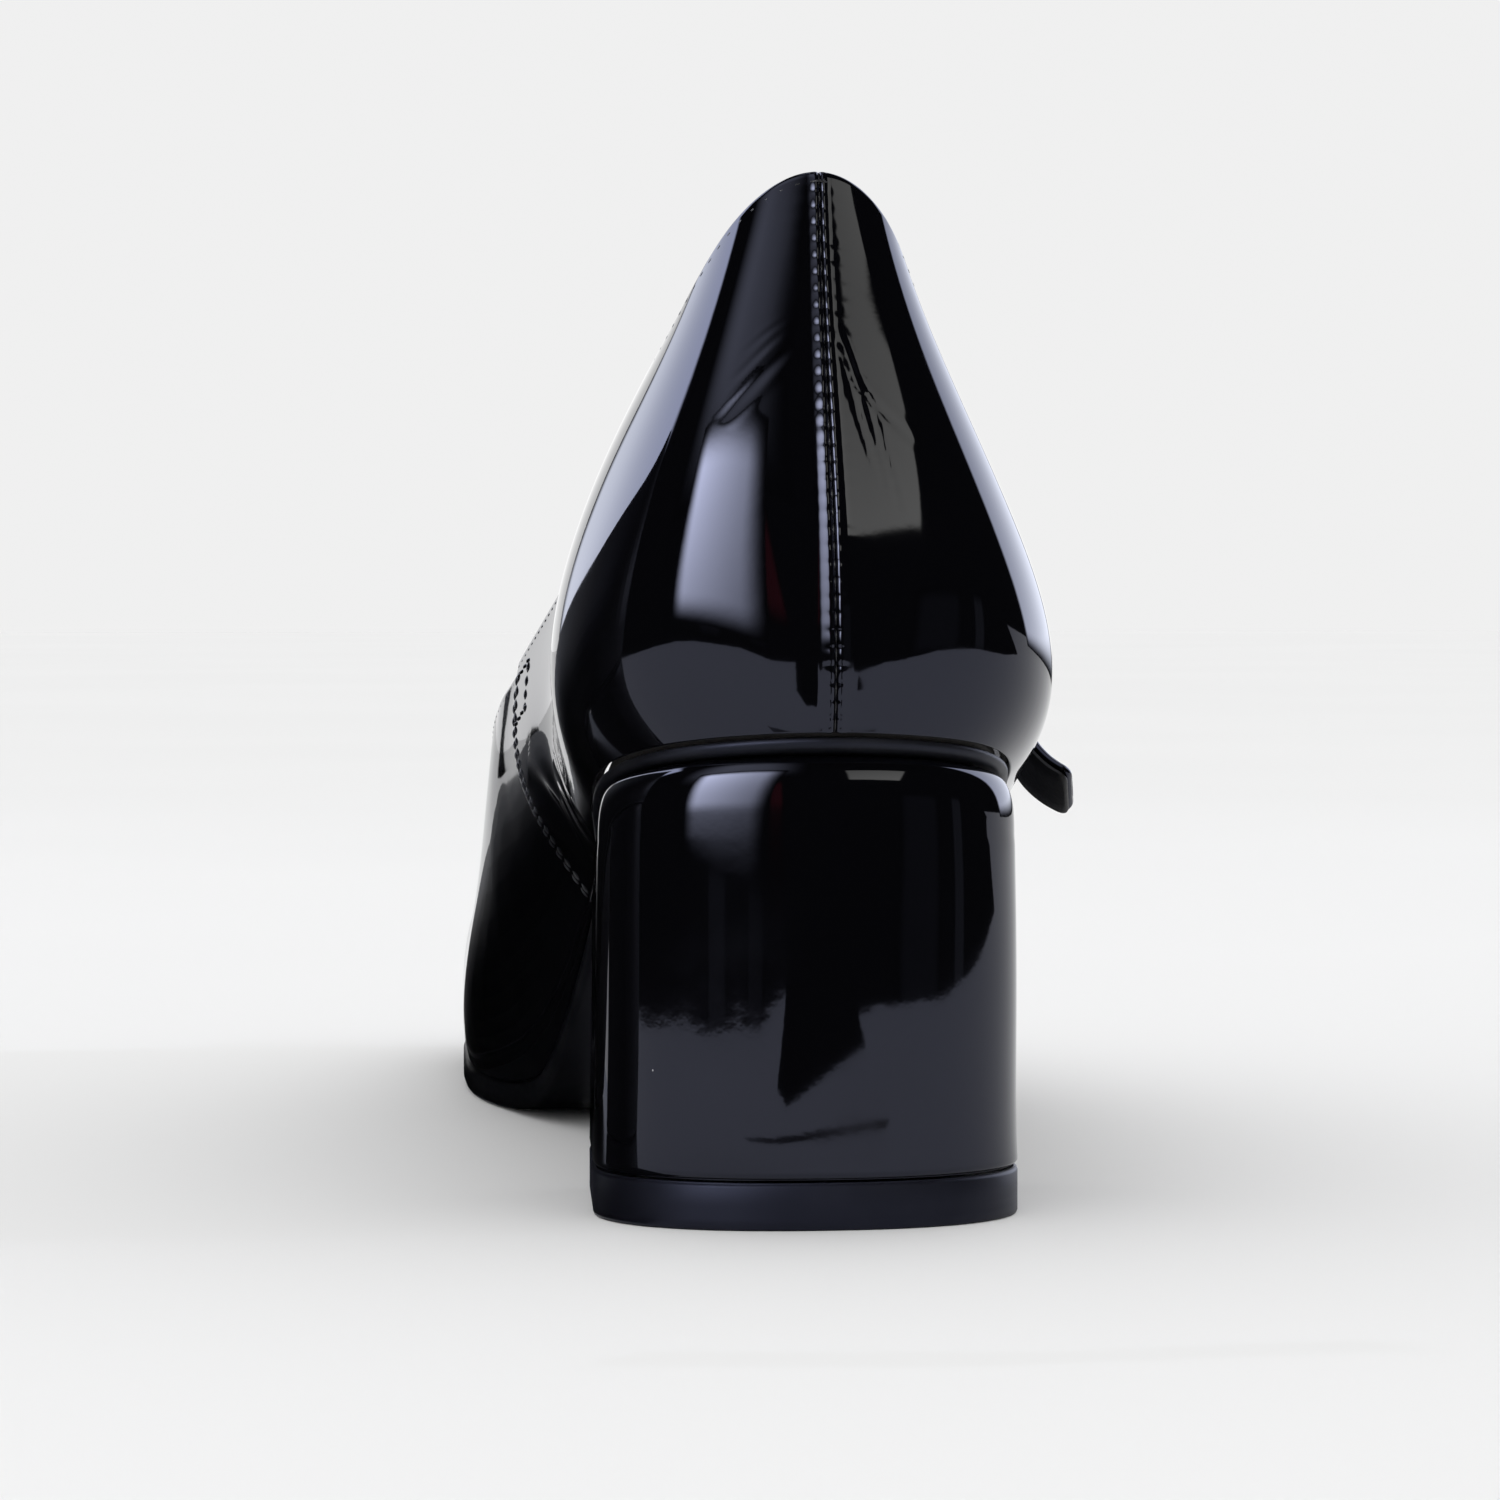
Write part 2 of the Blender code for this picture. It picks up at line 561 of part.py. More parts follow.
def make_tab():
    """The leather loop that holds the hinge bar, its two layers lying on the quarter under the strap."""
    bar, _, along, out = buckle_frame()
    radius = BUCKLE_WIRE / 2 + GAP + TAB_THICK / 2
    route = [on_upper(BUCKLE_PLACE, level, TAB_SEAT) for level in (0.70, 0.80, 0.90)]
    for turn in np.radians((0, 30, 60, 90, 120, 150, 180, 205)):
        route.append(bar - out * radius * cos(turn) + along * radius * sin(turn))
    route += [on_upper(BUCKLE_PLACE, level, TAB_SEAT + TAB_THICK + GAP) for level in (0.86, 0.78, 0.70)]
    route = np.array(route)
    route -= STRAP_AXIS * ((route - bar) @ STRAP_AXIS)[:, None]
    tab = band("buckle_tab", open_curve(route, 33), TAB_WIDTH, TAB_THICK, "patent")
    bpy.ops.mesh.primitive_cube_add(size=1)
    slot = bpy.context.object
    slot.name = "tab_slot"
    slot.matrix_world = (turned(out, STRAP_AXIS, along, bar + along * TAB_SLOT_AHEAD)
                         @ Matrix.Diagonal((TAB_SLOT_DEPTH, PRONG_WIRE + 4 * GAP, TAB_SLOT_LENGTH, 1)))
    cut(tab, slot)


def main():
    make_upper()
    make_insole()
    make_outsole()
    make_heel()
    make_top_lift()
    make_strap()
    make_buckle()
    make_tab()


for old in list(bpy.data.objects):
    bpy.data.objects.remove(old)
PARTS = bpy.data.collections.new("mary_jane_pump")
bpy.context.scene.collection.children.link(PARTS)
CUTTERS = bpy.data.collections.new("cutters")
bpy.context.scene.collection.children.link(CUTTERS)
SHOE = bpy.data.objects.new("shoe", None)
SHOE.location = (0, -LIFT_CENTRE, 0)
PARTS.objects.link(SHOE)
main()
bpy.context.view_layer.update()
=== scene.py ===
# %% [markdown]
# # A mary jane pump in black patent leather
#
# This lesson dresses one shoe: a right pump with a covered block heel, an instep strap and a small buckle.
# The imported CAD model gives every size. Here each plain solid gets the fine shape and the finish of the
# real piece: rolled leather edges, puckered seams, creases, thread, a mirror gloss and a satin heel lift.

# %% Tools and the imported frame
from collections import namedtuple
from itertools import product
from math import cos, pi, radians, sin

import bmesh
import bpy
import numpy as np
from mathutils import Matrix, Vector


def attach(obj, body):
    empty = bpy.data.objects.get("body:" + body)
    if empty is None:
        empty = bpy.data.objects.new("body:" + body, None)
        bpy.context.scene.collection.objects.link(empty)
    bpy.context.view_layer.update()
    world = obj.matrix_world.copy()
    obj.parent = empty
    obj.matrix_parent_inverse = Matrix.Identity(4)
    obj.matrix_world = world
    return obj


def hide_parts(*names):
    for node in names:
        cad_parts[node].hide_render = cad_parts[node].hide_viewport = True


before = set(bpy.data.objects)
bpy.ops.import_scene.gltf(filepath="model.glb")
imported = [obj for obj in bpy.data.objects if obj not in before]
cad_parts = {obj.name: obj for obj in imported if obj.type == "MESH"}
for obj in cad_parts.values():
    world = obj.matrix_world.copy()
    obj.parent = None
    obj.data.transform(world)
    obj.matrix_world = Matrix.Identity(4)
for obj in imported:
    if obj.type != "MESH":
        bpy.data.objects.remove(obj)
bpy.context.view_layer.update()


def placed(name, data):
    """A new object in the scene, at the origin."""
    made = bpy.data.objects.new(name, data)
    bpy.context.scene.collection.objects.link(made)
    return made


def new_mesh(name, points, faces, edges=()):
    """A mesh from its points, its faces as point numbers, and loose edges."""
    mesh = bpy.data.meshes.new(name)
    mesh.from_pydata(np.asarray(points, float).tolist(), edges, faces)
    return mesh


# %% [markdown]
# ## Camera
#
# The shoe is seen from straight behind and only a little from above, as it stands on the table. A long
# lens from half a metre away keeps the heel block's sides nearly upright.

# %% Camera
EYE = Vector((-0.0664, -0.5624, 0.0760))
LOOK_RIGHT = radians(6.1)
LOOK_DOWN = radians(2.1)
LENS = 113

camera = placed("camera", bpy.data.cameras.new("camera"))
camera.data.lens = LENS
camera.data.clip_start = 0.02
camera.location = EYE
camera.rotation_euler = (pi / 2 - LOOK_DOWN, 0, -LOOK_RIGHT)
bpy.context.scene.camera = camera
print("camera", tuple(round(v, 3) for v in EYE), "lens", LENS)

# %% [markdown]
# ## Writing shader maths as Python
#
# A material is a graph of nodes. Wrapping one output socket in a small class lets us write sums and
# products as plain expressions; each of them adds its own Math node. One method makes any other node.


# %% A socket that can be added and multiplied
# the Mix node's colour sockets, by number: two go in and one comes out
MIX_COLOURS = (6, 7)
MIX_RESULT = 2


class Socket:
    """One output of a node tree. Arithmetic on it adds Math nodes."""

    def __init__(self, tree, output):
        self.tree = tree
        self.output = output

    def node(self, kind, values=(), out=0, **settings):
        """Any other node: its settings first, then a value or a link for each socket."""
        made = self.tree.nodes.new(kind)
        for name, value in settings.items():
            setattr(made, name, value)
        for key, value in dict(values).items():
            if isinstance(value, Socket):
                self.tree.links.new(value.output, made.inputs[key])
            else:
                made.inputs[key].default_value = value
        return Socket(self.tree, made.outputs[out])

    def math(self, operation, *others):
        return self.node("ShaderNodeMath", enumerate((self, *others)), operation=operation)

    def __add__(self, other):
        return self.math("ADD", other)

    def __rsub__(self, other):
        return self * -1 + other

    def __mul__(self, other):
        return self.math("MULTIPLY", other)

    __radd__ = __add__
    __rmul__ = __mul__

    def step(self, low, high):
        """A smooth step from 0 at low to 1 at high."""
        values = {"Value": self, "From Min": low, "From Max": high}
        return self.node("ShaderNodeMapRange", values, interpolation_type="SMOOTHSTEP")

    def noise(self, size, detail=2.0, stretch=(1, 1, 1)):
        """Cloudy noise whose blots are about one size, in metres, on a place."""
        where = self.node("ShaderNodeMapping", {"Vector": self, "Scale": stretch})
        return self.node("ShaderNodeTexNoise", {"Vector": where, "Scale": 1 / size, "Detail": detail})

    def mix(self, first, second):
        """A colour between two, by this share."""
        values = {"Factor": self, MIX_COLOURS[0]: (*first, 1), MIX_COLOURS[1]: (*second, 1)}
        return self.node("ShaderNodeMix", values, out=MIX_RESULT, data_type="RGBA")


def new_finish(name, **constants):
    """A Principled material with its constant sockets set, and the place to draw patterns by."""
    made = bpy.data.materials.new(name)
    made.use_nodes = True
    shader = made.node_tree.nodes["Principled BSDF"]
    for socket, value in constants.items():
        shader.inputs[socket.replace("_", " ")].default_value = value
    coordinates = made.node_tree.nodes.new("ShaderNodeTexCoord")
    return made, shader, Socket(made.node_tree, coordinates.outputs["Object"])


def feed(shader, **patterns):
    """Link patterns to the shader's sockets. A Height becomes a bump in real metres."""
    for socket, value in patterns.items():
        if socket == "Height":
            value = value.node("ShaderNodeBump", {"Height": value, "Distance": 1.0, "Strength": 1.0})
            socket = "Normal"
        value.tree.links.new(value.output, shader.inputs[socket.replace("_", " ")])


print("shader maths ready")

# %% [markdown]
# ## Studio
#
# Patent leather has hardly any colour of its own: it shows the room. White paper runs out behind the shoe
# and ends a little in front of it, tall soft boxes stand on both sides, and the room behind the camera
# is dark apart from a lamp, a window and a few dim curtains. Those shapes draw the white rims, the black
# middle and the grey floor in the lower half of the heel. Cards and flags are seen by mirror rays alone, so
# the paper stays evenly lit and other camera positions are not blocked. Soft rays find the room equally
# bright everywhere, so neither the room nor a card needs aimed sampling, and the render is quicker.

# %% Floor
PAPER_EDGE = ((-6.0, 0.12), (-0.36, 0.10), (-0.31, -0.04), (-0.275, -0.15), (-0.235, -0.225),
              (-0.17, -0.275), (-0.11, -0.315), (-0.06, -0.300), (-0.022, -0.325), (-0.017, -0.20),
              (-0.006, -0.165), (0.030, -0.185), (0.062, -0.205), (0.070, -0.275), (0.13, -0.305),
              (0.24, -0.285), (0.34, -0.20), (0.44, -0.05), (0.60, 0.10), (6.0, 0.12))
# outline of a thin dark strip on the paper in front of the heel, seen by mirror rays alone: it draws a dark
# line low in the heel block's reflection
PAPER_DARK_STRIP = ((-0.036, -0.112), (0.000, -0.116), (0.052, -0.111), (0.044, -0.104), (0.012, -0.108),
              (-0.028, -0.104))
# outline of a dark sheet on the paper beside the shoe, seen by mirror rays alone: painted shadow for the
# flag, which casts none
SHADE_OUTLINE = ((-0.15, -0.02), (-0.02, -0.02), (-0.02, 0.20), (-0.15, 0.20))
SHADE_HEIGHT = 0.0004
FLOOR_REACH = 6.0
PAPER_CLOUD = 0.35


def staged(name, points, faces, finish):
    """A piece of the set, which isn't part of the shoe."""
    made = placed(name, new_mesh(name, points, faces))
    made.data.materials.append(finish)
    return made


def flat_piece(name, outline, finish, height=0.0):
    """A flat piece of the set, lying at a height over the floor."""
    return staged(name, [(x, y, height) for x, y in outline], [tuple(range(len(outline)))], finish)


def mirror_only(piece):
    """Show a piece of the set to mirror rays alone."""
    piece.visible_camera = False
    piece.visible_diffuse = False
    piece.visible_shadow = False


paper_finish, paper_shader, on_paper = new_finish("paper", Roughness=0.9, Specular_IOR_Level=0.1)
paper_cloud = on_paper.noise(PAPER_CLOUD).step(0.3, 0.7)
feed(paper_shader, Base_Color=paper_cloud.mix((0.79, 0.79, 0.79), (0.80, 0.80, 0.80)))
far_corners = ((FLOOR_REACH, FLOOR_REACH), (-FLOOR_REACH, FLOOR_REACH))
near_corners = ((-FLOOR_REACH, -FLOOR_REACH), (FLOOR_REACH, -FLOOR_REACH))
flat_piece("paper", (*PAPER_EDGE, *far_corners), paper_finish)
apron = flat_piece("paper_apron", (*near_corners, *PAPER_EDGE[::-1]), paper_finish)
apron.visible_glossy = False
print("the mirrored paper has", len(PAPER_EDGE), "corners")

# %% Room
ROOM_DARK = 0.008
ROOM_FAR = 1.25
ROOM_SEEN = 0.87
ROOM_SOFT = 1.13
FAR_WALL = (0.70, 0.92)

world = bpy.data.worlds.new("room")
world.use_nodes = True
world.cycles.sampling_method = "NONE"
bpy.context.scene.world = world
bpy.context.scene.view_settings.view_transform = "Standard"
ray_kinds = world.node_tree.nodes.new("ShaderNodeLightPath").outputs
camera_ray = Socket(world.node_tree, ray_kinds["Is Camera Ray"])
soft_ray = Socket(world.node_tree, ray_kinds["Is Diffuse Ray"])
sky = Socket(world.node_tree, world.node_tree.nodes.new("ShaderNodeTexCoord").outputs["Generated"])
forward = sky.node("ShaderNodeSeparateXYZ", {"Vector": sky}, out=1)
mirrored = forward.step(*FAR_WALL) * ROOM_FAR + ROOM_DARK
unseen = soft_ray * ROOM_SOFT + (1 - soft_ray) * mirrored
strength = camera_ray * ROOM_SEEN + (1 - camera_ray) * unseen
backdrop = world.node_tree.nodes["Background"]
backdrop.inputs["Color"].default_value = (1.0, 1.0, 1.0, 1)
world.node_tree.links.new(strength.output, backdrop.inputs["Strength"])
print("room: seen", ROOM_SEEN, "mirrored from", ROOM_DARK, "to", ROOM_FAR)

# %% Light cards
CARD_CENTRE = np.array([0.0, 0.0, 0.08])


def heading(azimuth, elevation):
    """A direction from the shoe. Azimuth 0 is past the toe, 90 to the shoe's right, 180 to the camera."""
    a, e = radians(azimuth), radians(elevation)
    return np.array([sin(a) * cos(e), cos(a) * cos(e), sin(e)])


def inner(share, edge):
    """1 in the middle of a card, with soft edges on both sides."""
    return share.step(0, edge) * (1 - share.step(1 - edge, 1))


def light_card(name, corners, distance, colour, near, far, soft_edge=0.15, foot=1.0, centre=CARD_CENTRE):
    """A glowing card between four headings from the heel cup: lower left, lower right, upper right and
    upper left. Its glow goes from near at the left to far at the right, and down to a share of that at its
    foot. The camera and the paper don't see it."""
    glow = bpy.data.materials.new(name)
    points = [centre + heading(*corner) * distance for corner in corners]
    card = staged(name, points, [(0, 1, 2, 3)], glow)
    mirror_only(card)
    across_card = card.data.uv_layers.new(name="card")
    for slot, place in enumerate(((0, 0), (1, 0), (1, 1), (0, 1))):
        across_card.data[slot].uv = place
    glow.use_nodes = True
    glow.cycles.emission_sampling = "NONE"
    tree = glow.node_tree
    tree.nodes.clear()
    place = Socket(tree, tree.nodes.new("ShaderNodeTexCoord").outputs["UV"])
    u, v = (place.node("ShaderNodeSeparateXYZ", {"Vector": place}, out=axis) for axis in (0, 1))
    fade = inner(u, soft_edge) * inner(v, soft_edge) * (v * (1 - foot) + foot)
    emission = tree.nodes.new("ShaderNodeEmission")
    emission.inputs["Color"].default_value = (*colour, 1)
    tree.links.new((fade * (u * (far - near) + near)).output, emission.inputs["Strength"])
    output = tree.nodes.new("ShaderNodeOutputMaterial")
    tree.links.new(emission.outputs[0], output.inputs["Surface"])


SIDE = (0.83, 0.87, 1.0)
LAMP = (0.95, 0.96, 1.0)
GREY = (1.0, 0.95, 0.70)
RED = (1.0, 0.10, 0.14)
CUP = np.array([-0.012, -0.018, 0.088])
light_card("left_box", ((-76, -3), (-18, -3), (-18, 55), (-106, 45)), 1.1, SIDE, 7.5, 1.8, 0.08)
light_card("right_box", ((18, -3), (66, -3), (100, 45), (18, 55)), 1.1, SIDE, 1.6, 4.0, 0.08)
light_card("left_lamp", ((-171, -13), (-130, -10), (-132, 26), (-180, 24)), 0.32, LAMP, 4.0, 21.0, 0.20,
           0.40, CUP)
light_card("left_haze", ((-184, 14), (-120, 12), (-116, 56), (-190, 56)), 1.0, LAMP, 0.6, 1.9, 0.4)
light_card("right_window", ((147, 12), (167, 12), (167, 26), (140, 27)), 1.0, GREY, 1.9, 1.6, 0.05, 1.4)
light_card("top_box", ((-150, 62), (-30, 62), (30, 62), (150, 62)), 1.2, SIDE, 1.2, 1.2, 0.3)
light_card("red_glow", ((-177, -6), (-171, -6), (-171, 12), (-176, 14)), 1.2, RED, 0.30, 0.22, 0.3)
for name, low, high, glow in (("curtain_a", -156, -146, 0.07), ("curtain_b", -170, -164, 0.05),
                              ("curtain_c", 128, 150, 0.05), ("curtain_d", 112, 120, 0.12)):
    light_card(name, ((low, -12), (high, -12), (high, 3), (low, 3)), 1.3, LAMP, glow, glow, 0.2)
print("eleven light cards")


# %% Dark flag beside the shoe
FLAG_PLANE = -0.04175
FLAG_TURN = radians(2.5)
FLAG_NODES = ("upper", "outsole", "heel", "top_lift")


def side_flag():
    """A dark mirror image of the plain solids, standing beside the shoe and seen by mirror rays alone."""
    middle_way = Vector((cos(FLAG_TURN), -sin(FLAG_TURN), 0))
    points, faces = [], []
    for node in FLAG_NODES:
        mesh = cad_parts[node].data
        base = len(points)
        for vertex in mesh.vertices:
            beyond = vertex.co @ middle_way - FLAG_PLANE
            points.append(tuple(vertex.co - middle_way * 2 * beyond))
        faces += [tuple(base + i for i in reversed(p.vertices)) for p in mesh.polygons]
    flag, _, _ = new_finish("flag", Base_Color=(0.004, 0.004, 0.005, 1), Roughness=0.5)
    mirror_only(staged("side_flag", points, faces, flag))
    # painted shadow on the paper beside the shoe, seen in mirrors alone
    mirror_only(flat_piece("side_shade", SHADE_OUTLINE, flag, SHADE_HEIGHT))
    # the thin dark strip on the paper in front of the heel, seen in mirrors alone
    mirror_only(flat_piece("paper_dark_strip", PAPER_DARK_STRIP, flag, SHADE_HEIGHT))


side_flag()

# %% [markdown]
# ## Finishes
#
# The patent finish is a clear lacquer over black leather. A nearly smooth mirror would look like plastic, so
# it gets three things in real sizes: long shallow waves with small ripples that bend reflections, a fine
# orange peel, and faint smudges and dust that break up the roughness.


# %% Patent leather
WAVE_SIZE = 0.014
RIPPLE_SIZE = 0.0034
PEEL_SIZE = 0.0011
SMUDGE_SIZE = 0.018
DUST_PATCH = 0.011
SPECKS_PER_METRE = 150.0
GLOSS = 0.035
SMUDGE_ROUGH = 0.05
DUST_ROUGH = 0.4
DUST_HEIGHT = 0.00003
DUST_COLOUR = (0.30, 0.30, 0.31)


def patent(name, wave=0.000010, ripples=0.0000045, peel=0.0000006, tint=(0.0014, 0.0014, 0.0020)):
    made, shader, place = new_finish(name, IOR=1.53, Specular_Tint=(0.70, 0.74, 1.0, 1))
    waves = place.noise(WAVE_SIZE, 1.0)
    ripple = place.noise(RIPPLE_SIZE, 3.0)
    fine = place.noise(PEEL_SIZE, 2.0)
    smudge = place.noise(SMUDGE_SIZE, 4.0).step(0.50, 0.75)
    specks = place.node("ShaderNodeTexVoronoi", {"Vector": place, "Scale": SPECKS_PER_METRE}, out="Distance")
    dust = (1 - specks.step(0.010, 0.024)) * place.noise(DUST_PATCH, 0.0).step(0.62, 0.66)
    feed(shader, Height=waves * wave + ripple * ripples + fine * peel + dust * DUST_HEIGHT)
    feed(shader, Roughness=smudge * SMUDGE_ROUGH + GLOSS + dust * DUST_ROUGH)
    feed(shader, Base_Color=dust.mix(tint, DUST_COLOUR))
    return made


patent_upper = patent("patent_upper")
patent_heel = patent("patent_heel", wave=0.000016)
patent_strap = patent("patent_strap", wave=0.000004)


# %% Lining, backing and thread
LEATHER_CLOUD = 0.012
LEATHER_UNEVEN = 0.15


def leather(name, dark, light, roughness, grain, depth):
    """Matt leather or cloth: cloudy colour, a fine grain and uneven roughness."""
    made, shader, place = new_finish(name, IOR=1.45)
    tone = place.noise(LEATHER_CLOUD, 5.0)
    cell = place.node("ShaderNodeTexVoronoi", {"Vector": place, "Scale": 1 / grain}, out="Distance")
    feed(shader, Base_Color=tone.step(0.3, 0.7).mix(dark, light))
    feed(shader, Roughness=tone * LEATHER_UNEVEN + roughness)
    feed(shader, Height=cell * depth + place.noise(grain * 6, 3.0) * depth)
    return made


lining_leather = leather("lining_leather", (0.028, 0.026, 0.025), (0.045, 0.042, 0.040), 0.55,
                         0.0007, 0.00006)
backing_leather = leather("backing_leather", (0.006, 0.006, 0.007), (0.012, 0.012, 0.014), 0.42,
                          0.0006, 0.00003)
thread_black = leather("thread_black", (0.008, 0.008, 0.010), (0.016, 0.016, 0.019), 0.30, 0.0002, 0.00002)


# %% Sole, lift and metal
SCRATCH_SIZE = 0.0009
SCRATCH_DEPTH = 0.000004
RUBBER_CLOUD = 0.009
RUBBER_GRAIN = 0.0004
METAL_CLOUD = 0.004
METAL_STREAK = 0.0006
METAL_GRAIN = 0.0005
METAL_DEPTH = 0.000002
BRUSHED = (1, 0.1, 1)


def satin(name, dark, light, roughness, streaks):
    """Moulded rubber: satin, with fine scratches that run one way."""
    made, shader, place = new_finish(name, IOR=1.5, Specular_IOR_Level=0.3, Specular_Tint=(0.6, 0.66, 1.0, 1))
    scratch = place.noise(SCRATCH_SIZE, 3.0, streaks)
    cloud = place.noise(RUBBER_CLOUD, 4.0)
    feed(shader, Base_Color=cloud.step(0.3, 0.75).mix(dark, light))
    feed(shader, Roughness=scratch * 0.12 + cloud * 0.08 + roughness)
    feed(shader, Height=scratch * SCRATCH_DEPTH + place.noise(RUBBER_GRAIN, 2.0) * SCRATCH_DEPTH)
    return made


sole_rubber = satin("sole_rubber", (0.004, 0.004, 0.005), (0.008, 0.008, 0.009), 0.34, (1, 0.25, 1))
lift_rubber = satin("lift_rubber", (0.003, 0.003, 0.005), (0.006, 0.006, 0.009), 0.34, (0.08, 0.08, 1))


def polished_metal():
    made, shader, place = new_finish("buckle_metal", Metallic=1.0)
    cloud = place.noise(METAL_CLOUD, 4.0)
    feed(shader, Base_Color=cloud.step(0.3, 0.7).mix((0.58, 0.58, 0.60), (0.66, 0.66, 0.68)))
    feed(shader, Roughness=place.noise(METAL_STREAK, 3.0, BRUSHED) * 0.12 + 0.10)
    feed(shader, Height=place.noise(METAL_GRAIN, 2.0, BRUSHED) * METAL_DEPTH)
    return made


buckle_metal = polished_metal()
print("finishes:", [m.name for m in bpy.data.materials])

# %% [markdown]
# ## The last
#
# The last is the foot-shaped block that a shoe is pulled over. Here it is a table of rows round the shoe:
# each row says where the wall starts at the sole, where it ends at the topline, and how it bulges in between.
# Smooth curves through the rows give the wall at any place. "Along" runs from the back of the heel cup
# to the toe.

# %% Sizes of the shoe
LENGTH = 0.236
SEAT_WIDTH = 0.0500
BALL_WIDTH = 0.0745
SEAT_HEIGHT = 0.0574
COLLAR_RISE = 0.0656
TOE_SPRING = 0.0060
UPPER_WALL = 0.0018
QUARTER_STEP = 0.0007
SEAM_RIDGE = 0.0004
INSOLE_THICK = 0.0022
SOLE_THICK = 0.0036
SHANK_THICK = 0.0026
SEAT_THICK = 0.0014
SOLE_EDGE = 0.0006
GAP = 0.0003
SHANK_FADE = (0.17, 0.06)
SOLE_FADE = (0.30, 0.22)
EDGE_FADE = (0.30, 0.20)
SPRING_START = 0.78
HEEL_DEPTH = 0.0425
HEEL_BACK = 0.0028
HEEL_ROUND = 0.0180
HEEL_CORNER = 0.0022
HEEL_POWER = 0.87
HEEL_FLARE = 0.0010
RIM_INSET = 0.0019
RIM_HEIGHT = 0.0070
BREAST_TAPER = 0.0012
LIFT_THICK = 0.0056
LIFT_CENTRE = HEEL_BACK + HEEL_DEPTH / 2

# %% Rows of the last
SEAT_LINE = ((0.000, 1.013), (0.100, 0.903), (0.190, 0.792), (0.255, 0.685), (0.315, 0.570), (0.380, 0.360),
             (0.440, 0.160), (0.487, 0.050), (0.540, 0.012), (0.600, 0.000), (1.000, 0.000))
Row = namedtuple("Row", "width foot_along foot_across top_along top_across top_rise "
                        "belly_out belly_up brow_out brow_down")


def rows_of(width, *lines):
    """Rows whose shares across are of one width."""
    return [Row(width, *line) for line in lines]


BACK = Row(SEAT_WIDTH, 0.0064, 0.024, 0.0314, 0.000, 1.021, 0.078, 0.30, 0.046, 0.36)
MEDIAL = (
    rows_of(SEAT_WIDTH,
            (0.024, -0.300, 0.041, -0.190, 0.948, 0.118, 0.28, 0.125, 0.38),
            (0.066, -0.460, 0.074, -0.314, 0.808, 0.18, 0.25, 0.185, 0.40),
            (0.127, -0.498, 0.131, -0.396, 0.712, 0.19, 0.24, 0.215, 0.41),
            (0.203, -0.470, 0.216, -0.424, 0.646, 0.20, 0.24, 0.155, 0.40),
            (0.263, -0.438, 0.322, -0.500, 0.643, 0.19, 0.26, 0.10, 0.40),
            (0.322, -0.430, 0.428, -0.580, 0.768, 0.19, 0.28, 0.07, 0.38))
    + rows_of(BALL_WIDTH,
              (0.458, -0.336, 0.483, -0.422, 0.799, 0.15, 0.30, 0.05, 0.33),
              (0.623, -0.443, 0.568, -0.413, 0.712, 0.08, 0.22, 0.05, 0.30),
              (0.784, -0.440, 0.672, -0.283, 0.582, 0.05, 0.34, 0.22, 0.12),
              (0.905, -0.372, 0.722, -0.154, 0.534, 0.04, 0.32, 0.40, 0.06))
)
TOE = Row(BALL_WIDTH, 0.9935, -0.094, 0.737, -0.027, 0.521, 0.02, 0.24, 0.50, 0.09)
LATERAL = (
    rows_of(SEAT_WIDTH,
            (0.025, 0.332, 0.041, 0.165, 0.948, 0.118, 0.28, 0.110, 0.38),
            (0.066, 0.472, 0.074, 0.272, 0.806, 0.20, 0.24, 0.190, 0.40),
            (0.127, 0.514, 0.131, 0.376, 0.700, 0.24, 0.22, 0.240, 0.41),
            (0.203, 0.520, 0.216, 0.464, 0.640, 0.26, 0.22, 0.20, 0.40),
            (0.271, 0.520, 0.322, 0.552, 0.636, 0.21, 0.25, 0.12, 0.40),
            (0.339, 0.540, 0.428, 0.626, 0.730, 0.16, 0.28, 0.08, 0.38))
    + rows_of(BALL_WIDTH,
              (0.449, 0.423, 0.483, 0.456, 0.761, 0.11, 0.30, 0.08, 0.33),
              (0.593, 0.530, 0.580, 0.423, 0.648, 0.06, 0.24, 0.12, 0.28),
              (0.763, 0.466, 0.678, 0.295, 0.555, 0.05, 0.32, 0.25, 0.12),
              (0.914, 0.262, 0.725, 0.128, 0.525, 0.04, 0.30, 0.40, 0.06))
)
SEAM_ROW = 6
LAST_ROW = len(MEDIAL) + 1
ROUND = 2 * LAST_ROW
ROW_NUDGE = 0.01
LEVEL_NUDGE = 0.004
SEAM_FADE = 1.2
RIDGE_FADE = 0.12


# %% Smooth curves through numbers
def unit(vectors):
    return vectors / np.linalg.norm(vectors, axis=-1, keepdims=True)


def ease(value):
    """A smooth step from 0 to 1."""
    value = np.clip(value, 0, 1)
    return value * value * (3 - 2 * value)


def hermite(knots, values, slopes, at):
    """The cubic through values with the given slopes, read at each place in at."""
    i = np.clip(np.searchsorted(knots, at, side="right") - 1, 0, len(knots) - 2)
    step = knots[i + 1] - knots[i]
    s = (at - knots[i]) / step
    if values.ndim > 1:
        step, s = step[:, None], s[:, None]
    return ((1 + 2 * s) * (1 - s) ** 2 * values[i] + s * (1 - s) ** 2 * step * slopes[i]
            + s * s * (3 - 2 * s) * values[i + 1] + s * s * (s - 1) * step * slopes[i + 1])


def steady_slopes(knots, values):
    """Slopes that keep a rising or falling line of heights from overshooting."""
    rise = np.diff(values) / np.diff(knots)
    slopes = np.zeros(len(values))
    both = rise[:-1] * rise[1:] > 0
    slopes[1:-1][both] = 2 * rise[:-1][both] * rise[1:][both] / (rise[:-1][both] + rise[1:][both])
    slopes[0], slopes[-1] = rise[0], rise[-1]
    return slopes


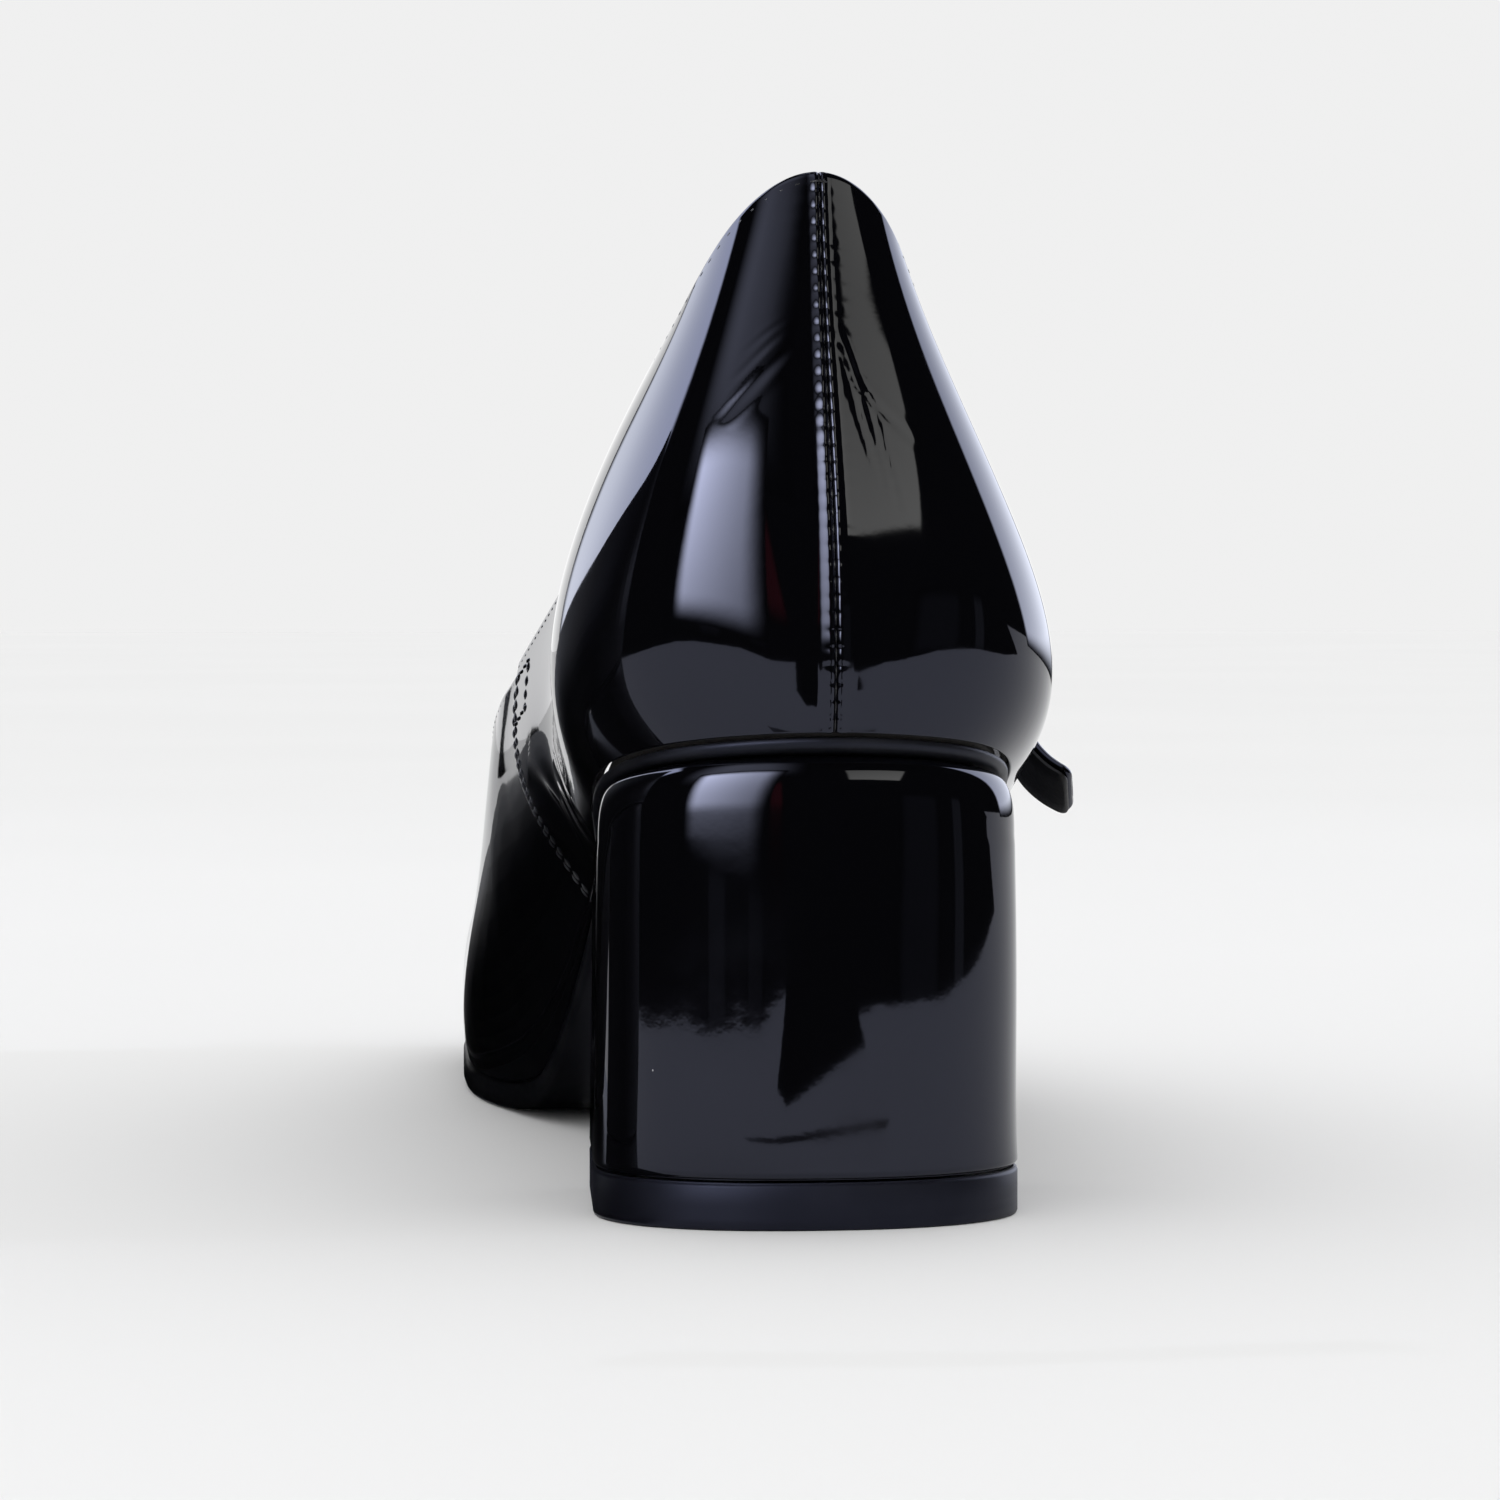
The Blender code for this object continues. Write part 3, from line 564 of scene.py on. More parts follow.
def run_along(points):
    """Length run from the first point to each of them."""
    return np.concatenate([[0], np.cumsum(np.linalg.norm(np.diff(points, axis=0), axis=1))])


def open_curve(points, count):
    """Points of a smooth curve through the given ones."""
    points = np.array(points)
    knots = run_along(points)
    slopes = np.gradient(points, knots, axis=0, edge_order=2)
    return hermite(knots, points, slopes, np.linspace(0, knots[-1], count))


def closed_slopes(knots, values):
    """Slopes of the smoothest closed cubic; the last knot stands for the first value again."""
    step = np.diff(knots)
    count = len(step)
    matrix = np.zeros((count, count))
    right = np.zeros((count, values.shape[1]))
    for i in range(count):
        before, after = 1 / step[i - 1], 1 / step[i]
        matrix[i, i - 1] += before
        matrix[i, i] += 2 * (before + after)
        matrix[i, (i + 1) % count] += after
        right[i] = 3 * ((values[i] - values[i - 1]) * before ** 2
                        + (values[(i + 1) % count] - values[i]) * after ** 2)
    return np.linalg.solve(matrix, right)


# %% The sole's line and the rows as one ring
def seat_height(along):
    """Height of the sole's upper face."""
    line = np.array(SEAT_LINE)
    slopes = steady_slopes(line[:, 0], line[:, 1])
    share = hermite(line[:, 0], line[:, 1], slopes, np.atleast_1d(along) / LENGTH)
    spring = (np.clip(np.atleast_1d(along) / LENGTH - SPRING_START, 0, None) / (1 - SPRING_START)) ** 2
    return SOLE_THICK + (SEAT_HEIGHT - SOLE_THICK) * share + TOE_SPRING * spring


def sole_thickness(along):
    """The sole is thin on the heel seat, thicker on the shank and full at the forefoot."""
    share = np.atleast_1d(along) / LENGTH
    shank = SEAT_THICK + (SHANK_THICK - SEAT_THICK) * ease((share - SHANK_FADE[0]) / SHANK_FADE[1])
    return shank + (SOLE_THICK - SHANK_THICK) * ease((share - SOLE_FADE[0]) / SOLE_FADE[1])


def ring_table():
    """All rows round the shoe, back, medial side, toe and lateral side, their places as real lengths."""
    table = []
    for row in (BACK, *MEDIAL, TOE, *reversed(LATERAL)):
        foot_along, top_along = row.foot_along * LENGTH, row.top_along * LENGTH
        top = float(seat_height(top_along)[0]) + row.top_rise * COLLAR_RISE
        table.append((row.foot_across * row.width, foot_along, row.top_across * row.width, top_along, top,
                      row.belly_out, row.belly_up, row.brow_out, row.brow_down))
    return np.array(table)


RING = ring_table()
RING_CLOSED = np.vstack([RING, RING[:1]])
RING_STEPS = np.linalg.norm(np.diff(RING_CLOSED[:, :2], axis=0), axis=1)
RING_STEPS += np.linalg.norm(np.diff(RING_CLOSED[:, 2:5], axis=0), axis=1)
RING_KNOTS = np.concatenate([[0], np.cumsum(RING_STEPS)])
RING_SLOPES = closed_slopes(RING_KNOTS, RING)
RING_SLOPES = np.vstack([RING_SLOPES, RING_SLOPES[:1]])


def ring(places):
    """The table's columns at places counted in rows round the shoe."""
    places = np.mod(places, ROUND)
    along = np.interp(places, np.arange(len(RING_KNOTS)), RING_KNOTS)
    return hermite(RING_KNOTS, RING_CLOSED, RING_SLOPES, along)


def foot_line(places, outwards=0.0):
    """The feather line in plan, moved outwards by a distance."""
    ahead, behind = ring(places + ROW_NUDGE), ring(places - ROW_NUDGE)
    way = unit(ahead[:, :2] - behind[:, :2])
    out = np.stack([-way[:, 1], way[:, 0]], axis=1)
    return ring(places)[:, :2] + out * np.reshape(outwards, (-1, 1)), out


def wall_face(places, levels):
    """The wall's plain outer face. Levels is one list for all places, or one list for each place."""
    table = ring(places)
    foot, out = foot_line(places)
    foot = np.column_stack([foot, seat_height(foot[:, 1]) + GAP])
    top = table[:, 2:5]
    out = np.column_stack([out, np.zeros(len(out))])
    up = np.array([0, 0, 1.0])
    reach = np.linalg.norm(top - foot, axis=1, keepdims=True)
    belly = foot + reach * (table[:, 5:6] * out + table[:, 6:7] * up)
    brow = top + reach * (table[:, 7:8] * out - table[:, 8:9] * up)
    t = np.broadcast_to(levels, (len(places), np.shape(levels)[-1]))[:, :, None]
    foot, belly, brow, top = (p[:, None, :] for p in (foot, belly, brow, top))
    return (1 - t) ** 3 * foot + 3 * t * (1 - t) ** 2 * belly + 3 * t * t * (1 - t) * brow + t ** 3 * top


def wall_normals(places, levels):
    """Outward directions of the wall's face."""
    levels = np.asarray(levels, float)
    round_way = wall_face(places + ROW_NUDGE, levels) - wall_face(places - ROW_NUDGE, levels)
    up_way = wall_face(places, levels + LEVEL_NUDGE) - wall_face(places, levels - LEVEL_NUDGE)
    return unit(np.cross(up_way, round_way))


def overlay(places):
    """How far the quarters and the closed back seam stand proud of the vamp's level."""
    row = LAST_ROW - np.abs(LAST_ROW - np.mod(places, ROUND))
    quarter = np.where(row < SEAM_ROW, ease((row - SEAM_ROW + SEAM_FADE) / SEAM_FADE), 0) * QUARTER_STEP
    return quarter + SEAM_RIDGE * (1 - ease(row / RIDGE_FADE))


girth = run_along(wall_face(np.linspace(0, ROUND, 200), [1.0])[:, 0])[-1]
print("topline girth", round(girth * 1000), "mm")

# %% [markdown]
# ## Skins
#
# Most pieces here are skins over a grid of points: columns round the shoe, levels up the wall. A skin that
# closes on itself or gets lids has no open edge, so it is a solid like the real leather.

# %% Meshes from grids
SHOE_BODY = "root"
INTO_SHOE = (0, LIFT_CENTRE, 0)


def bare(name, points, faces, finish):
    """A mesh piece, moved from the sizes' own frame (heel cup at 0) into the shoe's frame."""
    mesh = new_mesh(name, np.asarray(points, float) - INTO_SHOE, faces)
    mesh.materials.append(finish)
    mesh.shade_smooth()
    return placed(name, mesh)


def settle(piece, replaces=(), slot=None):
    """Hang a piece on the shoe's body and hide the plain parts that it stands for. The slot is not used."""
    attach(piece, SHOE_BODY)
    if replaces:
        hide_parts(*replaces)
    print(piece.name, len(piece.data.vertices), "vertices", len(piece.data.polygons), "faces")


def finished(name, points, faces, finish, **facts):
    """A piece that needs no more work after its points and faces."""
    settle(bare(name, points, faces, finish), **facts)


def grid_faces(columns, rows, close_columns, close_rows):
    """Quads over a grid whose points are listed column by column."""
    faces = []
    for i in range(columns if close_columns else columns - 1):
        here, there = i * rows, (i + 1) % columns * rows
        for j in range(rows if close_rows else rows - 1):
            k = (j + 1) % rows
            faces.append((here + j, here + k, there + k, there + j))
    return faces


def skin(name, grid, finish, close_columns=False, close_rows=False, lids=(), **facts):
    """A skin over grid[column][row]; lids are lists of point numbers in turn."""
    columns, rows = grid.shape[:2]
    faces = grid_faces(columns, rows, close_columns, close_rows) + list(lids)
    finished(name, grid.reshape(-1, 3), faces, finish, **facts)


def turned_block(name, grid, finish, **facts):
    """A closed block from loops that go up it, with flat lids on both ends."""
    columns, rows = grid.shape[:2]
    foot = [column * rows for column in range(columns)]
    lids = (tuple(foot[::-1]), tuple(first + rows - 1 for first in foot))
    skin(name, grid[::-1], finish, close_columns=True, lids=lids, **facts)


# %% [markdown]
# ## Leather that has been sewn and bent
#
# A relief over the wall makes it leather: the closed back seam rolls into a groove and is pinched by every
# stitch, the quarters end in a folded edge over the vamp, and soft creases run where the hide was pulled
# round the heel. The creases are placed one by one as soft troughs with a low ridge on both sides.

# %% Relief of the seams
STITCH_PITCH = 0.0020
GROOVE_ROLL = 0.00075
GROOVE_DEPTH = 0.00085
FOLD_ROLL = 0.00045
PINCH_DEPTH = 0.00009
PINCH_REACH = 0.00065
PUCKER_DEPTH = 0.00002
PUCKER_REACH = 0.0016
TOPLINE_STITCH = 0.0008


def roll(distance, radius, depth):
    """The rounded drop of a turned edge, as a height below the face, by the distance from the edge."""
    inside = np.clip(1 - distance / radius, 0, 1)
    return -depth * (1 - np.sqrt(np.clip(1 - inside ** 2, 0, 1)))


def waves(points, length, seed, count=7):
    """A smooth uneven field: a few sine waves of about one length, their directions fixed by the seed."""
    chance = np.random.default_rng(seed)
    total = np.zeros(points.shape[:-1])
    for _ in range(count):
        way = unit(chance.normal(size=3))
        size = length * chance.uniform(0.7, 1.5)
        total += np.sin(points @ way * 2 * pi / size + chance.uniform(0, 2 * pi))
    return total / np.sqrt(count)


def seam_relief(face, away, run, seed):
    """Groove, pinches and puckers beside the back seam. Away is the distance from it, run the way up it."""
    tie = 0.5 + 0.5 * np.cos(run / STITCH_PITCH * 2 * pi)
    uneven = 1 + 0.5 * waves(face, 0.006, seed)
    pinch = -PINCH_DEPTH * tie ** 10 * np.exp(-(away / PINCH_REACH) ** 2)
    pucker = -PUCKER_DEPTH * tie * uneven * np.exp(-(away / PUCKER_REACH) ** 1.5)
    return roll(away, GROOVE_ROLL, GROOVE_DEPTH) + pinch + pucker


# %% Creases
RIDGE_HEIGHT = 0.45
RIDGE_PLACE = 1.9
CREASE_POINTS = 60
CREASE_FADE = 0.7
CREASES = (
    # side, depth and half width in mm, then (row, level) along the crease
    ("lateral", 0.11, 0.38, ((0.12, 0.74), (0.23, 0.68), (0.27, 0.65), (0.32, 0.59), (0.38, 0.53),
                             (0.43, 0.47))),
    ("lateral", 0.08, 0.34, ((0.27, 0.66), (0.38, 0.62), (0.43, 0.55), (0.48, 0.49), (0.52, 0.43))),
    ("lateral", 0.04, 0.50, ((0.27, 0.65), (0.43, 0.62), (0.62, 0.59), (0.73, 0.57))),
    ("medial", 0.05, 0.60, ((0.85, 0.62), (0.65, 0.66), (0.45, 0.69), (0.28, 0.71))),
    ("medial", 0.015, 0.30, ((0.78, 0.69), (0.55, 0.72), (0.38, 0.74))),
    ("medial", 0.012, 0.25, ((0.82, 0.66), (0.60, 0.69), (0.40, 0.72))),
    ("medial", 0.010, 0.30, ((0.72, 0.73), (0.50, 0.75), (0.34, 0.76))),
    ("medial", 0.14, 0.55, ((4.43, 0.17), (4.43, 0.12), (4.43, 0.06))),
    ("medial", 0.20, 0.90, ((4.98, 0.39), (4.63, 0.18), (4.53, 0.08), (4.48, 0.01))),
    ("medial", 0.10, 0.45, ((4.63, 0.11), (4.58, 0.07), (4.53, 0.03))),
    ("medial", 0.16, 0.70, ((5.13, 0.27), (5.13, 0.12), (5.23, 0.04))),
    ("medial", 0.35, 1.60, ((5.78, 0.50), (5.48, 0.33), (5.28, 0.17), (5.23, 0.02))),
    ("lateral", 0.14, 0.60, ((3.6, 0.34), (4.0, 0.21), (4.4, 0.09), (4.7, 0.02))),
    ("lateral", 0.24, 1.20, ((5.5, 0.36), (5.2, 0.18), (5.1, 0.05))),
)


def crease_relief(face, side):
    """Soft troughs with low ridges beside them, faded out at both ends."""
    total = np.zeros(face.shape[:-1])
    for where, depth, half_width, path in CREASES:
        if where != side:
            continue
        path_rows, levels = np.array(path).T
        places = path_rows if side == "medial" else ROUND - path_rows
        knots = np.array([wall_face(places[i:i + 1], levels[i:i + 1])[0, 0] for i in range(len(path))])
        line = open_curve(knots, CREASE_POINTS)
        nearest = np.full(face.shape[:-1], np.inf)
        fade = np.zeros(face.shape[:-1])
        for i, point in enumerate(line):
            distance = np.linalg.norm(face - point, axis=-1)
            closer = distance < nearest
            nearest[closer] = distance[closer]
            fade[closer] = sin(pi * i / (len(line) - 1)) ** CREASE_FADE
        width = half_width / 1000
        trough = -np.exp(-(nearest / width) ** 2)
        ridge = RIDGE_HEIGHT * np.exp(-((nearest - RIDGE_PLACE * width) / width) ** 2)
        total += (trough + ridge) * fade * depth / 1000
    return total


# %% Quarters
SKIN_THICK = 0.0009
WALL_LEVELS = 250
INNER_LEVELS = 10
EDGE_TURNS = (25, 50, 75, 105, 130, 155)
ROW_STEP = 0.028
NEAR_SEAM = (0.0006, 0.0025, 0.005, 0.008, 0.012, 0.017, 0.023, 0.030, 0.038, 0.047, 0.058, 0.070, 0.084,
             0.10)
NEAR_FOLD = (0.10, 0.075, 0.055, 0.040, 0.030, 0.022, 0.015, 0.010, 0.006, 0.003, 0.001)
FOLD_STEP = 0.0002
CALM_REACH = 0.004
QUARTER_WAVE = 0.00005


def top_level(places, radius):
    """The level where the wall's face turns over, so that the rolled edge ends at the topline."""
    table = ring(places)
    foot = foot_line(places)[0]
    foot = np.column_stack([foot, seat_height(foot[:, 1])])
    reach = np.linalg.norm(table[:, 2:5] - foot, axis=1)
    handle = reach * np.hypot(table[:, 7], table[:, 8])
    return 1 - radius / (3 * handle)


def rolled_wall(places, levels, relief, depth_out, depth_in):
    """Columns of points up the outer face, over the rolled edge and down the inner face."""
    radius = (depth_in - depth_out) / 2
    end = top_level(places, radius)[:, None]
    outer_levels = np.linspace(0, 1, levels)[None, :] * end
    inner_levels = np.linspace(1, 0, INNER_LEVELS)[None, :] * end
    out = wall_normals(places, outer_levels)
    outer = wall_face(places, outer_levels) + out * (relief - depth_out)[:, :, None]
    tip, tip_out = outer[:, -1:], out[:, -1:]
    up = unit(outer[:, -1:] - outer[:, -3:-2])
    turns = np.radians(EDGE_TURNS)[None, :, None]
    edge = tip + radius * (tip_out * (np.cos(turns) - 1) + up * np.sin(turns))
    inner_out = wall_normals(places, inner_levels)
    rise = relief[:, -1:] - depth_in
    fall = np.linspace(1, 0, INNER_LEVELS)[None, :]
    inner = wall_face(places, inner_levels) + inner_out * (rise * fall - depth_in * (1 - fall))[:, :, None]
    return np.concatenate([outer, edge, inner], axis=1)


def end_lids(grid, levels):
    """Faces that close the first and last column of an open wall."""
    columns, rows = grid.shape[:2]
    inner = rows - INNER_LEVELS
    marks = np.round(np.linspace(levels - 1, 0, INNER_LEVELS)).astype(int)
    lids = []
    for column in (0, columns - 1):
        base = column * rows
        bands = [list(range(base + levels - 1, base + inner + 1))]
        for k in range(INNER_LEVELS - 1):
            outer = list(range(base + marks[k + 1], base + marks[k] + 1))
            bands.append(outer + [base + inner + k, base + inner + k + 1])
        for band in bands:
            lids.append(tuple(band if column == 0 else band[::-1]))
    return lids


def distance_to(place, face, levels):
    """How far each point of a wall lies from the line up it at one place."""
    return np.linalg.norm(face - wall_face(np.full(len(face), float(place)), levels), axis=2)


def quarter(side, seed):
    """One quarter, from the back seam to its folded edge over the vamp."""
    body = np.arange(0.12, SEAM_ROW - NEAR_FOLD[0], ROW_STEP)
    rows = np.concatenate([NEAR_SEAM, body, SEAM_ROW - np.array(NEAR_FOLD)])
    places = rows if side == "medial" else ROUND - rows[::-1]
    end = top_level(places, SKIN_THICK / 2)[:, None]
    levels = np.linspace(0, 1, WALL_LEVELS)[None, :] * end
    face = wall_face(places, levels)
    run = run_along(wall_face(np.zeros(1), np.linspace(0, 1, WALL_LEVELS))[0])
    away = distance_to(0, face, levels)
    to_fold = distance_to(SEAM_ROW if side == "medial" else ROUND - SEAM_ROW, face, levels)
    relief = np.repeat(overlay(places)[:, None], WALL_LEVELS, axis=1)
    relief += seam_relief(face, away, run[None, :], seed)
    relief += roll(to_fold, FOLD_ROLL, QUARTER_STEP + FOLD_STEP)
    relief += crease_relief(face, side)
    calm = ease(away / CALM_REACH) * ease(to_fold / CALM_REACH)
    relief += QUARTER_WAVE * waves(face, 0.030, seed + 1) * calm
    grid = rolled_wall(places, WALL_LEVELS, relief, 0.0, SKIN_THICK)
    skin("quarter_" + side, grid, patent_upper, close_rows=True, lids=end_lids(grid, WALL_LEVELS),
         replaces=("upper",), slot="patent")


quarter("medial", 11)
quarter("lateral", 12)

# %% Vamp
VAMP_LEVELS = 110
UNDERLAP = 0.35
VAMP_WAVE = 0.00004


def vamp():
    """The front of the upper. Its back edges lie under the quarters."""
    rows = np.arange(SEAM_ROW - UNDERLAP, ROUND - SEAM_ROW + UNDERLAP, ROW_STEP)
    face = wall_face(rows, np.linspace(0, 1, VAMP_LEVELS)[None, :] * top_level(rows, SKIN_THICK / 2)[:, None])
    grid = rolled_wall(rows, VAMP_LEVELS, VAMP_WAVE * waves(face, 0.035, 21), 0.0, SKIN_THICK)
    skin("vamp", grid, patent_upper, close_rows=True, lids=end_lids(grid, VAMP_LEVELS),
         replaces=("upper",), slot="patent")


vamp()

# %% [markdown]
# ## Inside of the shoe
#
# The lining is its own thin skin behind the patent leather. Its top edge is trimmed a little lower, so the
# collar shows two layers. The sock lies over the insole board and reaches out to the lining.

# %% Lining
LINING_LEVELS = 60
LINING_TRIM = 0.0004
LINING_GLUE = 0.00004
TRIMMED_LEVELS = 12
LINING_STEP = 0.06
BELOW_TOP = 0.97


def lining():
    rows = np.arange(0, ROUND, LINING_STEP)
    flat = np.zeros((len(rows), LINING_LEVELS))
    grid = rolled_wall(rows, LINING_LEVELS, flat, SKIN_THICK + LINING_GLUE, UPPER_WALL)
    up = unit(wall_face(rows, [1.0])[:, 0] - wall_face(rows, [BELOW_TOP])[:, 0])
    share = np.zeros(grid.shape[1])
    share[LINING_LEVELS - TRIMMED_LEVELS:LINING_LEVELS] = np.linspace(0, 1, TRIMMED_LEVELS)
    share[LINING_LEVELS:grid.shape[1] - INNER_LEVELS + 1] = 1
    grid -= up[:, None, :] * share[None, :, None] * LINING_TRIM
    skin("lining", grid, lining_leather, close_columns=True, close_rows=True,
         replaces=("upper",), slot="lining")


lining()


# %% Plates along the sole
SOLE_STEP = 0.08
LID_SHARES = (0.25, 0.5, 0.75)


def plate(name, finish, inset, layers, **facts):
    """A plate that follows the sole: layers are (inwards, down from the sole's upper face)."""
    places = np.arange(0, ROUND, SOLE_STEP)
    loops = []
    for inwards, drop in layers:
        plan = foot_line(places, inset(places) - inwards)[0]
        loops.append(np.column_stack([plan, seat_height(plan[:, 1]) - drop(plan[:, 1])]))
    grid = np.stack(loops, axis=1)
    columns, rows = grid.shape[:2]
    points = grid.reshape(-1, 3).tolist()
    faces = grid_faces(columns, rows, True, False)
    for row in (0, rows - 1):
        faces += lid_rings(points, [i * rows + row for i in range(columns)], row == 0, layers[row][1])
    finished(name, points, faces, finish, **facts)


def lid_rings(points, loop, faces_down, drop):
    """A lid over a loop of the sole, as strips across it that follow the sole's height."""
    count = len(loop)
    faces = []
    strips = []
    for i in range(1, count // 2):
        left, right = np.array(points[loop[i]]), np.array(points[loop[count - i]])
        line = [loop[i]]
        for share in LID_SHARES:
            spot = left + (right - left) * share
            spot[2] = float(seat_height(spot[1])[0]) - float(np.atleast_1d(drop(np.array([spot[1]])))[0])
            points.append(spot.tolist())
            line.append(len(points) - 1)
        line.append(loop[count - i])
        strips.append(line)
    for here, there in zip(strips, strips[1:]):
        for a in range(len(LID_SHARES) + 1):
            faces.append((here[a], there[a], there[a + 1], here[a + 1]))
    faces.append((loop[0], *strips[0]))
    faces.append((*strips[-1], loop[count // 2]))
    if not faces_down:
        faces = [face[::-1] for face in faces]
    return faces


def flat_drop(amount):
    return lambda along: np.full(len(along), amount)


# %% Sock and outsole
SOCK_EDGE_GAP = 0.00003
SOCK_STEPS = ((0.0, 0.0), (0.0, 0.0014), (0.0002, 0.0019), (0.0007, INSOLE_THICK))
OUTSOLE_STEPS = ((0.0010, 1.0), (0.0006, 0.97), (0.0003, 0.86), (0.0, 0.62), (0.0, 0.18), (0.0004, 0.0))


def wall_inset(places):
    """The sock reaches out to the lining."""
    return np.full(len(places), -UPPER_WALL - SOCK_EDGE_GAP)


def sole_edge(places):
    """How far the sole's edge stands out past the feather line."""
    along = ring(places)[:, 1] / LENGTH
    return -GAP + (SOLE_EDGE + GAP) * ease((along - EDGE_FADE[0]) / EDGE_FADE[1])


def part_of_sole(share):
    return lambda along: share * sole_thickness(along)


plate("sock", lining_leather, wall_inset,
      [(inwards, flat_drop(-GAP - rise)) for inwards, rise in SOCK_STEPS],
      replaces=("insole",), slot="lining")
plate("outsole_edge", sole_rubber, sole_edge,
      [(inwards, part_of_sole(share)) for inwards, share in OUTSOLE_STEPS],
      replaces=("outsole",), slot="sole")

# %% [markdown]
# ## Heel block
#
# The block is wrapped in the same patent leather, pulled over a hard core. Its top rim is softly rounded and
# its skin is never quite flat.

# %% Heel
OUTLINE_FINE = 4
COVER_FOOT = ((0.0005, 0, 0), (0.0002, 0, 0.00015), (0.0, 0, 0.0005))
BLOCK_SHARES = np.linspace(0.02, 0.82, 40)
RIM_TURNS = np.radians(np.linspace(0, 90, 20))
RIM_POWER = 1.25
COVER_WAVE = 0.00006


def heel_outline(inset, width, fine=1):
    """Plan of the block: a rounded back, sides that close in a little, and a flat breast."""
    half = width / 2 - inset
    depth = HEEL_DEPTH - 2 * inset
    points = []
    for angle in np.linspace(0, pi / 2, 12 * fine + 1):
        points.append((half * sin(angle) ** HEEL_POWER, HEEL_ROUND * (1 - max(cos(angle), 0) ** HEEL_POWER)))
    breast = half - BREAST_TAPER
    for share in np.linspace(0, 1, 3 * fine + 1)[1:-1]:
        points.append((half - BREAST_TAPER * share, HEEL_ROUND + (depth - HEEL_CORNER - HEEL_ROUND) * share))
    for angle in np.linspace(0, pi / 2, 4 * fine + 1):
        points.append((breast - HEEL_CORNER * (1 - cos(angle)), depth - HEEL_CORNER * (1 - sin(angle))))
    for share in np.linspace(1, 0, 2 * fine + 1)[1:]:
        points.append(((breast - HEEL_CORNER) * share, depth))
    side = np.array(points) + (0, HEEL_BACK + inset)
    return np.vstack([side, side[-2:0:-1] * (-1, 1)])


def heel_block():
    """Loops up the block, with a soft bottom edge and a rounded rim under the seat."""
    steps = [*COVER_FOOT, *((0.0, share, 0) for share in BLOCK_SHARES)]
    for turn in RIM_TURNS:
        steps.append((RIM_INSET * (1 - cos(turn)) ** RIM_POWER, 1, -RIM_HEIGHT * (1 - sin(turn))))
    loops = []
    for inset, share, shift in steps:
        plan = heel_outline(inset, SEAT_WIDTH + HEEL_FLARE * (1 - share), OUTLINE_FINE)
        low = LIFT_THICK + GAP
        high = seat_height(plan[:, 1]) - sole_thickness(plan[:, 1]) - GAP
        loops.append(np.column_stack([plan, low + (high - low) * share + shift]))
    grid = np.stack(loops, axis=1)
    out = unit((grid - INTO_SHOE) * (1, 1, 0))
    calm = ease((grid[:, :, 2:3] - LIFT_THICK) / CALM_REACH)
    grid = grid + out * COVER_WAVE * waves(grid, 0.026, 31)[:, :, None] * calm
    turned_block("heel_cover", grid, patent_heel, replaces=("heel",), slot="heel_cover")


heel_block()


# %% Top lift
LIFT_STEPS = ((0.0004, 0.0), (0.00012, 0.00008), (0.0, 0.0004), (0.0, 0.0014), (0.0, 0.0028),
              (0.0, LIFT_THICK - 0.0005), (0.0001, LIFT_THICK - 0.0002), (0.0004, LIFT_THICK))


def top_lift():
    """The hard-wearing piece under the heel."""
    loops = []
    for inset, height in LIFT_STEPS:
        plan = heel_outline(inset, SEAT_WIDTH + HEEL_FLARE, OUTLINE_FINE)
        loops.append(np.column_stack([plan, np.full(len(plan), height)]))
    turned_block("lift", np.stack(loops, axis=1), lift_rubber, replaces=("top_lift",), slot="lift")


top_lift()

# %% [markdown]
# ## Strap
#
# The strap is two leathers glued together: patent on top with a turned edge, matt backing below. It is sewn
# inside the medial wall, arches over the instep and lies over the buckle on the lateral side, where its tip
# stands off a little. It runs along a smooth route; every cross-section is set square to it.

# %% Sizes of the strap and the buckle
STRAP_WIDTH = 0.0090
STRAP_THICK = 0.0022
STRAP_SLANT = radians(35)
STRAP_CROWN = 0.0110
ARCH_POWER = 0.9
TAB_THICK = 0.0008
TAB_SLOT_AHEAD = 0.0010
TAB_SLOT_LENGTH = 0.0032
TAB_SLOT_DEPTH = 0.0060
BAND_CLEARANCE = 0.0012
BUCKLE_WIRE = 0.0014
BUCKLE_LENGTH = 0.0130
BUCKLE_CORNER = 0.0018
PRONG_WIRE = 0.0012
STRAP_START = (0.70, 0.80, 0.90, 1.0)
STRAP_END = ((0.84, -0.0003), (0.72, -0.0006), (0.645, 0.0009), (0.565, 0.0049))
STRAP_ROW = 6.05
ARCH_TURNS = np.radians((36, 63, 90, 117, 144))
STRAP_AXIS = np.array([0, cos(STRAP_SLANT), -sin(STRAP_SLANT)])
STRAP_RISE = np.array([0, sin(STRAP_SLANT), cos(STRAP_SLANT)])
BUCKLE_PLACE = ROUND - STRAP_ROW
STRAP_MARKS = 49
TAB_SEAT = QUARTER_STEP + BAND_CLEARANCE + TAB_THICK / 2
BAR_SEAT = TAB_SEAT + TAB_THICK / 2 + GAP + BUCKLE_WIRE / 2
BAR_REACH = STRAP_THICK / 2 + GAP + TAB_THICK + GAP + BUCKLE_WIRE / 2
FRAME_HALF_WIDTH = STRAP_WIDTH / 2 + 2 * GAP + BUCKLE_WIRE / 2
TAB_WIDTH = 2 * (FRAME_HALF_WIDTH - BUCKLE_CORNER - GAP)


# %% Route of the strap
def on_wall(place, level, lift):
    """A point over the wall's outer face by a distance, or inside it by a negative one."""
    places, levels = np.array([float(place)]), [level]
    return (wall_face(places, levels) + wall_normals(places, levels) * lift)[0, 0]


